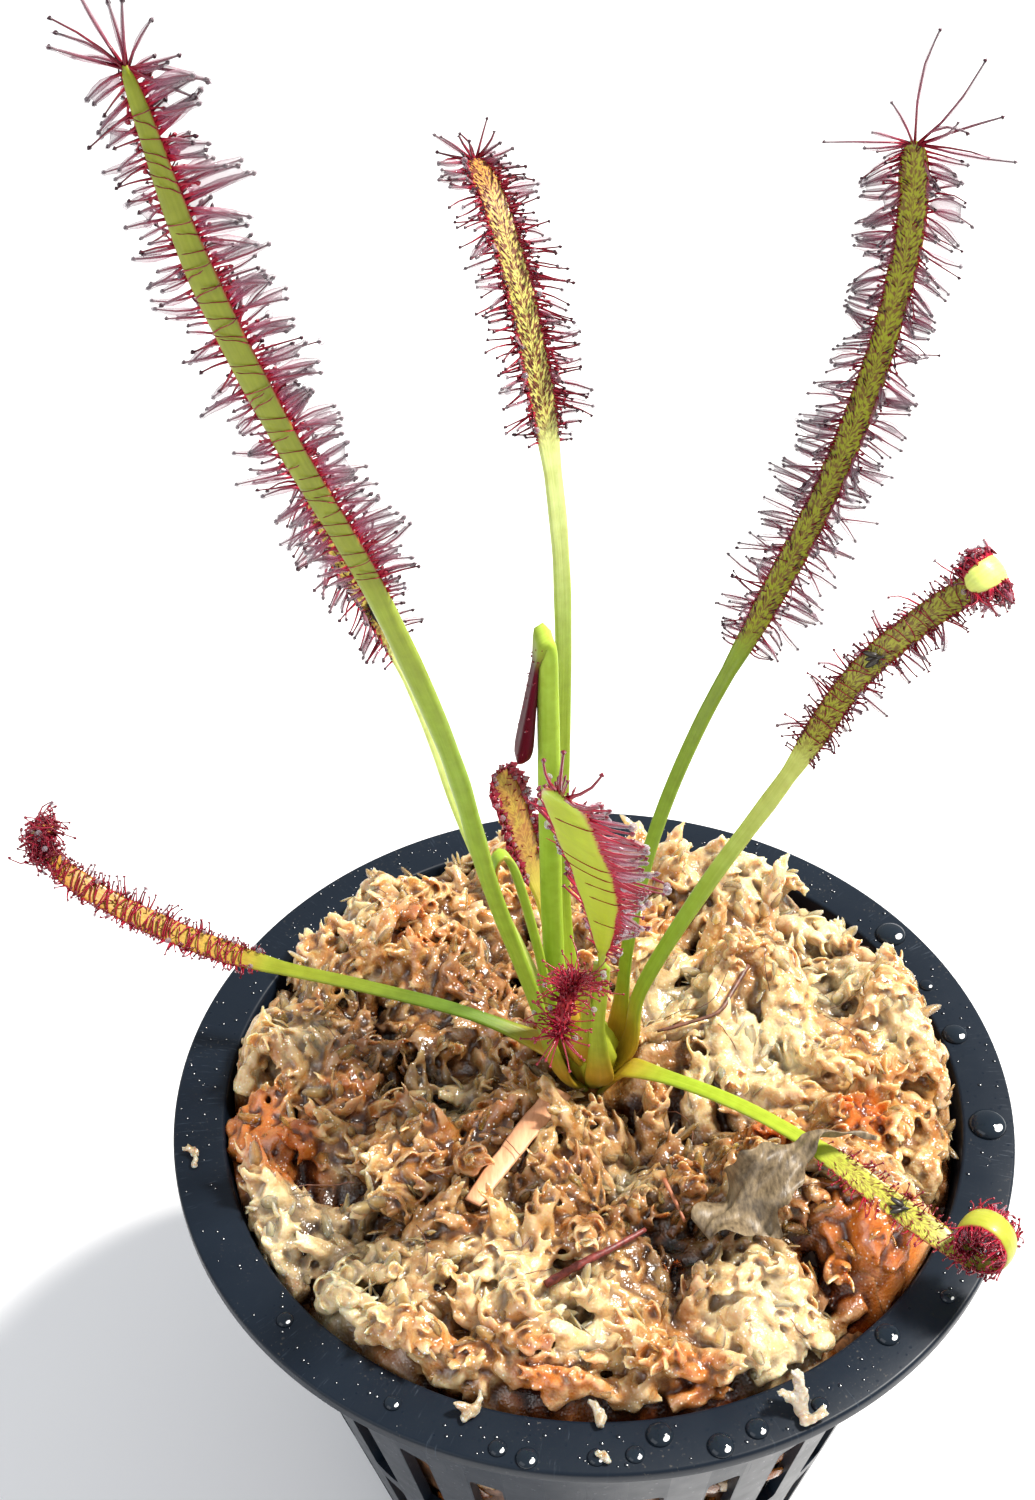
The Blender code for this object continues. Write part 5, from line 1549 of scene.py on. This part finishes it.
def small_ones(heap, rib, side, habit):
    """Short tentacles all over the sticky face: standing stubs, or laid flat outwards and up like
    herringbone."""
    end, flat = rib["past"][-1], habit.get("hatch", 0)
    count = int(habit["small"] * end / MM)
    spot = at_distance(rib, draw.uniform(0, end - 0.3 * MM, count))
    offset = draw.uniform(-0.40, 0.40, (count, 1))
    outward = np.sign(offset) * flat * 0.55 + offset * 2.4 * (1 - flat)
    way = unit(spot["face"] * (0.8 - 0.5 * flat) + spot["across"] * outward
               + spot["along"] * draw.normal(0.35 + 0.4 * flat, 0.35 - 0.1 * flat, (count, 1)))
    root = spot["point"] + spot["across"] * offset * spot["width"]
    length = min(1.2, 0.4 * side) * (1 - 0.3 * flat)
    length = (length * draw.uniform(0.4, 1, count) + 0.3)[:, None] * MM
    head = root + way * length + draw.normal(0, 0.1, (count, 3)) * MM
    path = hair_lines(root, root + way * length * 0.5, head, (0, 0.6, 0.82, 1.0))
    standing, laid_flat = np.array((0.085, 0.06, 0.115, 0.04)), np.array((0.07, 0.055, 0.06, 0.03))
    heap.add(tubes(path, (standing * (1 - flat) + laid_flat * flat) * MM, 3), HAIR,
             along=np.array((0.35, 0.6, 0.95, 1))[None] * habit["ripe"])


IN_ROW = 8


def rows(heap, rib, step):
    """A close herringbone of fine flat tentacles, row by row up the face."""
    distance = np.repeat(np.arange(0.5 * MM, rib["past"][-1] - 0.4 * MM, step), IN_ROW)
    count = len(distance)
    offset = np.resize(np.linspace(-0.44, 0.44, IN_ROW), count) + draw.normal(0, 0.03, count)
    offset = offset[:, None]
    spot = at_distance(rib, distance + draw.normal(0, 0.1 * MM, count))
    way = unit(spot["across"] * np.sign(offset) * draw.uniform(0.3, 0.7, (count, 1))
               + spot["along"] + spot["face"] * 0.22)
    root = spot["point"] + spot["across"] * offset * spot["width"] + spot["face"] * 0.04 * MM
    length = draw.uniform(0.35, 0.75, (count, 1)) * MM
    middle = root + way * length * 0.5 + spot["face"] * 0.12 * MM
    path = hair_lines(root, middle, root + way * length, (0, 0.5, 0.85, 1.0))
    heap.add(tubes(path, np.array((0.05, 0.042, 0.05, 0.03)) * MM, 3), HAIR,
             along=np.array((0.5, 0.65, 0.85, 1))[None])


def ball(heap, rib, habit, count, stretch, reach, wrap=0.5):
    """Tentacles that stand out from the face and both edges of the last stretch, bent into hooks as
    far as the leaf curls them. wrap is how far they also come round the back, in radians."""
    end = rib["past"][-1]
    spot = at_distance(rib, end - draw.uniform(0, 1, count) ** 1.2 * stretch * MM)
    turn = draw.uniform(-wrap, math.pi + wrap, count)[:, None]
    out = spot["across"] * np.cos(turn) + spot["face"] * np.sin(turn)
    root = (spot["point"] + spot["across"] * np.cos(turn) * spot["width"] * 0.45
            + spot["face"] * np.sin(turn) * spot["thickness"] * 0.3)
    way = unit(out + spot["along"] * draw.normal(0.1, 0.5, (count, 1)))
    length = reach * draw.uniform(0.4, 1.1, (count, 1)) * MM
    curl = habit["curl"]
    middle = root + way * length * (0.55 + 0.45 * curl) + draw.normal(0, 0.10, (count, 3)) * length
    head = (root + way * length * (1 - 0.75 * curl)
            + spot["along"] * draw.choice((-1, 1), (count, 1)) * curl * length
            + draw.normal(0, 0.2, (count, 3)) * length - (0, 0, 1) * length * 0.1)
    add_tentacles(heap, root, middle, head, pair(habit["thick"])[0], habit["ripe"] * 0.8,
                  np.zeros(count), drops=habit.get("drops", 0))


def crossing(heap, rib, count, side, thick):
    """Tentacles that have bent round an edge and lie slanting across the back (-1) or the face (1)."""
    first, last = 1 * MM, rib["past"][-1] - 1 * MM
    distance = np.sort(draw.uniform(first, last, count))
    distance = distance * 0.5 + np.linspace(first, last, count) * 0.5
    spot = at_distance(rib, distance)
    share = np.linspace(0, 1, 8)
    hand = draw.choice((-1, 1), (count, 1), p=(0.25, 0.75))
    x = hand * (0.52 - draw.uniform(0.55, 1.25, (count, 1)) * share)
    bulge = np.sqrt(np.clip(1 - (2 * x) ** 2, 0, 1)) * spot["thickness"] / 2
    bulge = bulge + (0.06 + 0.22 * share ** 2) * MM
    arch = 0.5 * max(thick - 0.7, 0) * np.sin(math.pi * share) * draw.uniform(0.2, 1.4, (count, 1))
    bulge = bulge + arch * MM
    if side > 0:
        bulge = bulge - 0.25 * MM
    slant = draw.normal(0.9, 0.5, (count, 1)) * (share + 0.12 * np.sin(share * 5)) * MM
    path = (spot["point"][:, None] + spot["across"][:, None] * (x * spot["width"])[..., None]
            + spot["face"][:, None] * (side * bulge)[..., None]
            + spot["along"][:, None] * slant[..., None])
    radii = np.array((0.11, 0.09, 0.08, 0.075, 0.07, 0.065, 0.10, 0.04)) * MM * thick
    heap.add(tubes(path, radii, 3), HAIR, along=(0.10 + share[None] * 0.5) * habit["ripe"])


for name, habit in HABITS.items():
    heap, rib = leaf_heaps[name], ribs[name]
    *_, side, tip, options = PLANS[name]
    reach, end = side * MM, rib["past"][-1]
    fringe(heap, rib, habit, -0.8 * MM, end - 0.2 * MM, 1, reach, (-8, 30), 0.05)
    fringe(heap, rib, habit, 0, end - 0.4 * MM, 1.3, reach * 0.55, (25, 75), 0.12)
    if "margin" in habit:
        inner = habit | dict(every=habit["margin"], ripe=0.35, wet=0.1, bunch=0.1)
        fringe(heap, rib, inner, 0, end - 0.3 * MM, 1, reach * 0.32, (5, 65), 0.08)
    if "roll" in options:
        radius, turns = options["roll"]
        rolled = radius * math.tau * turns * MM
        dense = habit | dict(ripe=0.4, every=0.24, thick=1.2)
        fringe(heap, rib, dense, end - rolled, end, 1, reach * 0.8, (-25, 50), 0.03)
    fan(heap, rib, tip * MM, habit)
    small_ones(heap, rib, side, habit)
    if "crossing" in habit:
        crossing(heap, rib, *habit["crossing"])
    if "rows" in habit:
        rows(heap, rib, habit["rows"] * MM)
    if "ball" in habit:
        ball(heap, rib, habit, *habit["ball"])
for name, heap in leaf_heaps.items():
    slot = COLOURS[name][0]
    settle(heap.build(name + "_leaf", [skins[name], hair, glue]), slot, "leaf_" + name)

# %% [markdown]
# ## The stock
# All leaves spring from a short stock. Between the stalks it shows the feet of older leaves, pressed
# together, so it is fluted, narrows downwards, and turns from orange brown to lime.

# %% Stock
stock_finish = Finish("stock", Roughness=0.45, Subsurface_Weight=0.2,
                      Subsurface_Radius=(1, 0.6, 0.2), Subsurface_Scale=0.8 * MM)
here = stock_finish.place()
streaks = stock_finish.clouds(here.scaled(1, 1, 0.3), 0.8, detail=4)
greener = (stock_finish.mark("rise") + streaks * 0.6).within(0.35, 1.1)
color = stock_finish.mix(greener, (0.42, 0.17, 0.025), (0.44, 0.52, 0.04))
stock_finish.show(Base_Color=color, height=streaks, strength=0.8)
PROFILE = np.array((  # height over the lip and radius, in millimetres
    (-16, 1.5), (-8, 1.3), (-3, 1.2), (0, 1.6), (2, 2.3), (4, 3.0), (6, 3.3), (8, 2.6), (9.6, 1.7),
    (10.4, 0.4)))
STOCK_SIDES = 54
heights, radii = PROFILE.T * MM
centres = np.stack([np.zeros(len(PROFILE)), np.full(len(PROFILE), 1 * MM), heights + LIP], 1)[None]
rings = tubes(centres, radii, STOCK_SIDES)
angles = 4.5 * math.tau * np.arange(STOCK_SIDES) / STOCK_SIDES
flutes = 1 - 0.16 * np.abs(np.sin(angles + heights[:, None] * 250))
axis = centres[:, :, None, :2]
rings[..., :2] = axis + (rings[..., :2] - axis) * flutes[None, ..., None]
rise = np.clip(heights / (8 * MM), 0, 1)[None]
settle(skinned("stock", stock_finish, rings, rise=rise), "crown_stock", "crown")

# %% [markdown]
# ## The litter
# Flat things are strips: a ring of ten points or more at each station, wide and thin, tilted and
# curled a little. Round things are tubes whose radius wavers. Each replaces its solid, which lies on
# the same run.

# %% Litter shapes


def strip_rings(path, widths, thickness, crumple, lobes=10):
    """A dead leaf along a path, its edges bent up and down, with more folds the more crumpled it
    is. The waves have lengths that don't fit each other, so that no fold comes back."""
    share = np.linspace(0, 1, len(path))
    width = np.interp(share, np.linspace(0, 1, len(widths)), widths) * MM
    along = unit(np.gradient(path, axis=0))
    across = unit(np.cross(along, (0, 0, 1)))
    face = np.cross(across, along)
    tilt = (crumple * np.sin(1.5 * math.tau * share + 0.6))[:, None]
    across = unit(across + face * tilt)
    face = np.cross(across, along)
    angle = math.tau * np.arange(lobes) / lobes
    ragged = 1 + crumple * 0.5 * (np.sin(share * 29)[:, None] * np.cos(angle * 2 + 1)
                                  + np.sin(share * 47 + 2)[:, None] * 0.5)
    x = np.cos(angle)[None] * width[:, None] / 2 * ragged
    fold = crumple * 1.4 * np.abs(x) * np.sin(share * 17 + 1)[:, None]
    fold = fold + crumple * 0.45 * MM * np.sin(x / MM * 4.0 + share[:, None] * 14)
    fold = fold + (crumple * 1.1 * MM * np.sin(share[:, None] * 19 + x / MM * 1.1)
                   * np.sin(share[:, None] * 11 - x / MM * 1.6 + 1))
    y = np.sin(angle)[None] * thickness * MM / 2 + fold
    return (path[:, None] + x[..., None] * across[:, None] + y[..., None] * face[:, None])[None]


def plain_finish(name, dark, light, size, gloss, stretch=(1, 1, 1), bump=0.6):
    """A dry, streaky finish between two colours."""
    made = Finish(name)
    here = made.place().scaled(*stretch)
    streaks = made.clouds(here, size, detail=5, rough=0.6)
    made.show(Base_Color=made.ramp(streaks, (0.28, dark), (0.72, light)),
              Roughness=gloss + streaks * 0.1, height=streaks, strength=bump)
    return made


peach = plain_finish("dead_stalk_peach", (0.60, 0.25, 0.12), (0.86, 0.47, 0.26), 1.0, 0.45,
                     (1.5, 0.3, 1))
drab = plain_finish("dried_leaf_grey", (0.045, 0.028, 0.015), (0.28, 0.205, 0.115), 0.9, 0.40,
                    (1.8, 0.6, 1.2), bump=0.9)
bark = plain_finish("fibre_brown", (0.035, 0.012, 0.008), (0.24, 0.10, 0.06), 0.7, 0.4)
wine = plain_finish("twig_wine", (0.05, 0.008, 0.008), (0.30, 0.06, 0.05), 0.6, 0.4)
rust = plain_finish("needle_rust", (0.20, 0.05, 0.02), (0.55, 0.20, 0.09), 0.9, 0.45)

stalk = strip_rings(runs["dead_stalk"], (2.8, 2.9, 2.8, 2.5, 2.3, 2.0), 0.5, 0.05)
settle(skinned("peach_stalk", peach, stalk), "dead_stalk_peach", "dead_stalk")
crumpled = strip_rings(runs["dried_leaf"], (3.4, 7.0, 8.0, 6.4, 3.6, 1.7, 1.0, 0.6), 0.35, 0.42, 44)
settle(skinned("crumpled_leaf", drab, crumpled), "dried_leaf_grey", "dried_leaf")
for piece, node, radius, finish, slot in (
        ("brown_root", "root_fibre", 0.33, bark, "fibre_brown"),
        ("ridged_twig", "dried_twig", 0.48, wine, "fibre_brown"),
        ("rust_needle", "dried_needle", 0.27, rust, "needle_rust")):
    path = runs[node]
    share = np.linspace(0, 1, len(path))
    radii = radius * MM * (1 - 0.45 * share) * draw.uniform(0.85, 1.15, len(path))
    settle(skinned(piece, finish, tubes(path[None], radii, 9)), slot, node)

# %% [markdown]
# ## Water on the lip
# The pot has just been watered. Round beads and one or two large flat drops lie on the lip, and it
# is dusted with specks of spray. A bead is a low dome, a tube along its own height whose radius
# follows a quarter circle. A drop on black shows two things: the black through it, and one bright
# glint of the lamp. So the finish is as dark as the plastic and nearly as smooth as glass, with a
# painted highlight: a white spot in its colour where the dome slopes towards the lamp.

# %% Water
water = Finish("water", Roughness=0.02, IOR=1.333)
slope = water.node("TexCoord", output="Normal")
TO_LAMP = (0.32, -0.38, 0.87)
to_lamp = water.node("VectorMath", {"operation": "DOT_PRODUCT"}, {0: slope, 1: TO_LAMP},
                     output="Value")
dark = water.mix(water.clouds(water.place(), 3), (0.004, 0.007, 0.012), (0.012, 0.019, 0.028))
# Painted highlight: the colour turns white where the dome slopes towards the lamp.
water.show(Base_Color=water.mix(to_lamp.within(0.978, 0.990), dark, (1, 1, 1)))
BEADS = np.array((  # x, y and radius in mm, from the middle of the lip
    (-11.0, -44.4, 0.96), (-8.2, -45.5, 1.15), (-1.5, -45.6, 0.96), (2.2, -45.4, 0.96),
    (4.7, -43.4, 1.36), (10.5, -44.7, 1.35), (14.2, -43.0, 1.16), (28.5, -33.0, 1.3),
    (35.4, -28.7, 0.82), (-21.3, -39.3, 0.89), (-32.7, -29.6, 0.92), (20.6, -40.6, 0.88),
    (44.0, -6.7, 2.1), (38.1, 23.2, 1.9), (42.9, 6.7, 1.5), (41.0, 14.6, 0.9)))
count = 260
turn = draw.uniform(0, math.tau, count)
reach = draw.uniform(42.4, 46.9, count)
specks = np.column_stack([reach * np.cos(turn), reach * np.sin(turn),
                          draw.uniform(0.10, 0.26, count)])


def domes(places, base, stations):
    """Low domes of water standing on a level face."""
    rise = np.linspace(0, 1, stations)
    tall = places[:, 2:3] * 0.55 * rise
    centres = np.stack(np.broadcast_arrays(places[:, :1], places[:, 1:2], tall), 2)
    radii = places[:, 2:3] * np.sqrt(1 - (rise * 0.985) ** 2)
    return centres * MM + (0, 0, base), radii * MM


heap = Heap()
for group, sides, stations in ((BEADS, 24, 7), (specks, 6, 4)):
    centres, radii = domes(group, LIP + 0.01 * MM, stations)
    heap.add(tubes(centres, radii, sides))
settle(heap.build("water_beads", [water]), "pot_plastic")

# %% [markdown]
# ## Scraps and hairs
# A few torn bits of moss stuck to the wet lip when the pot was filled. They are short shoots melted
# in the same way as the bed, with a finer voxel. Fine dark fibres lie on the moss.

# %% Scraps
SCRAPS = (  # x, y, azimuth in radians, rise in degrees, length and thickness in millimetres
    (-44.0, -8.9, 1.9, 10, 2.0, 0.8), (-44.6, -10.2, 0.6, 20, 1.4, 0.6),
    (-15.0, -41.6, 0.2, 12, 3.6, 0.8), (-13.2, -41.2, 2.2, 30, 2.4, 0.8),
    (-1.2, -43.0, 1.2, 10, 3.0, 0.9), (-0.2, -46.6, 1.9, 15, 1.8, 0.7),
    (18.2, -41.8, 1.0, 55, 4.4, 1.2), (19.0, -42.2, 2.0, 40, 3.6, 1.1),
    (18.0, -42.4, -0.4, 15, 3.0, 1.0))
heap = Heap()
share = np.linspace(0, 1, 9)
for x, y, azimuth, rise, length, size in SCRAPS:
    heading = azimuth + 1.3 * share
    hops = np.stack([np.cos(heading), np.sin(heading)], 1) * length / 8 * MM
    spots = np.array((x, y)) * MM + np.cumsum(hops * math.cos(math.radians(rise)), axis=0)
    over = math.sin(math.radians(rise)) * length * MM * share
    path = np.column_stack([spots, LIP + 0.35 * size * MM + over])
    grow_shoot(heap, path, size * MM, tone=0.15, open_by=14)
melted("moss_scraps", heap, 6000, 0.17 * MM, whole=False, finish=moss_torn)

heap = Heap()
for start in spread_over_disc(46, 37 * MM):
    path = lay_path(start, draw.uniform(0, math.tau), draw.uniform(3, 9) * MM, 0.9 * MM,
                    math.radians(draw.uniform(0, 18)), draw.normal(0, 1.0))
    path[:, 2] += inside(path, HOLLOW) * 2.0 * MM + draw.normal(0, 0.15 * MM, len(path))
    if np.linalg.norm(path[:, :2], axis=1).max() < 40.5 * MM:
        heap.add(tubes(path[None], 0.055 * MM, 3))
settle(heap.build("dark_fibres", [bark]), "fibre_brown")

# %% [markdown]
# ## Gnats
# Three leaves have each caught a gnat, a black speck two millimetres long. It lies on the sticky face
# with its wings folded back. The body is one tube that swells into abdomen, chest and head. The
# wings borrow the shape of the moss leaflets, and the six legs are thin bent tubes.

# %% Gnats
black = Finish("gnat_black")
soot = black.mix(black.clouds(black.place(), 0.4), (0.010, 0.008, 0.008), (0.05, 0.04, 0.03))
black.show(Base_Color=soot, Roughness=0.35)
CAUGHT = (  # leaf, millimetres past the start of its blade, and the body's turn in radians
    ("low_right", 8.6, 0.5), ("mid_right", 12.6, -0.6), ("behind_left", 4.8, 0.3))
AHEAD = np.array((-1.05, -0.8, -0.35, 0.05, 0.35, 0.6, 0.72, 0.95))
SWELL = np.array((0.05, 0.19, 0.25, 0.15, 0.29, 0.12, 0.18, 0.05)) * MM
heap = Heap()
for name, past, turn in CAUGHT:
    found = at_distance(ribs[name], np.array([past * MM]))
    spot = {key: values[0] for key, values in found.items()}
    ahead = spot["along"] * math.cos(turn) + spot["across"] * math.sin(turn)
    seat = spot["point"] + spot["face"] * (spot["thickness"] * 0.18 + 0.2 * MM)
    heap.add(tubes((seat + ahead * AHEAD[:, None] * MM)[None], SWELL, 8))
    for hand in (-1, 1):
        aside = np.cross(spot["face"], ahead) * hand
        aim = unit(aside * 0.45 - ahead)[None]
        shoulder = (seat + (ahead * 0.3 + aside * 0.15 + spot["face"] * 0.2) * MM)[None]
        length, width, cup, flick = np.array([[1.5 * MM], [0.6 * MM], [0.1], [0.1]])
        heap.add(leaflets(shoulder, aim, spot["face"][None], length, width, cup, flick, 0.05 * MM,
                          THIN_SECTION))
        for hip in (0.0, 0.25, 0.5):
            knee = np.array((hip, hip * 1.6 - 0.2, hip * 2.6 - 0.5))[:, None] * ahead
            out = (np.array((0.1, 0.6, 1.0))[:, None] * aside
                   + np.array((0, 0.25, -0.2))[:, None] * spot["face"])
            heap.add(tubes((seat + (knee + out) * MM)[None], 0.035 * MM, 4))
settle(heap.build("caught_gnats", [black]), "fibre_brown")
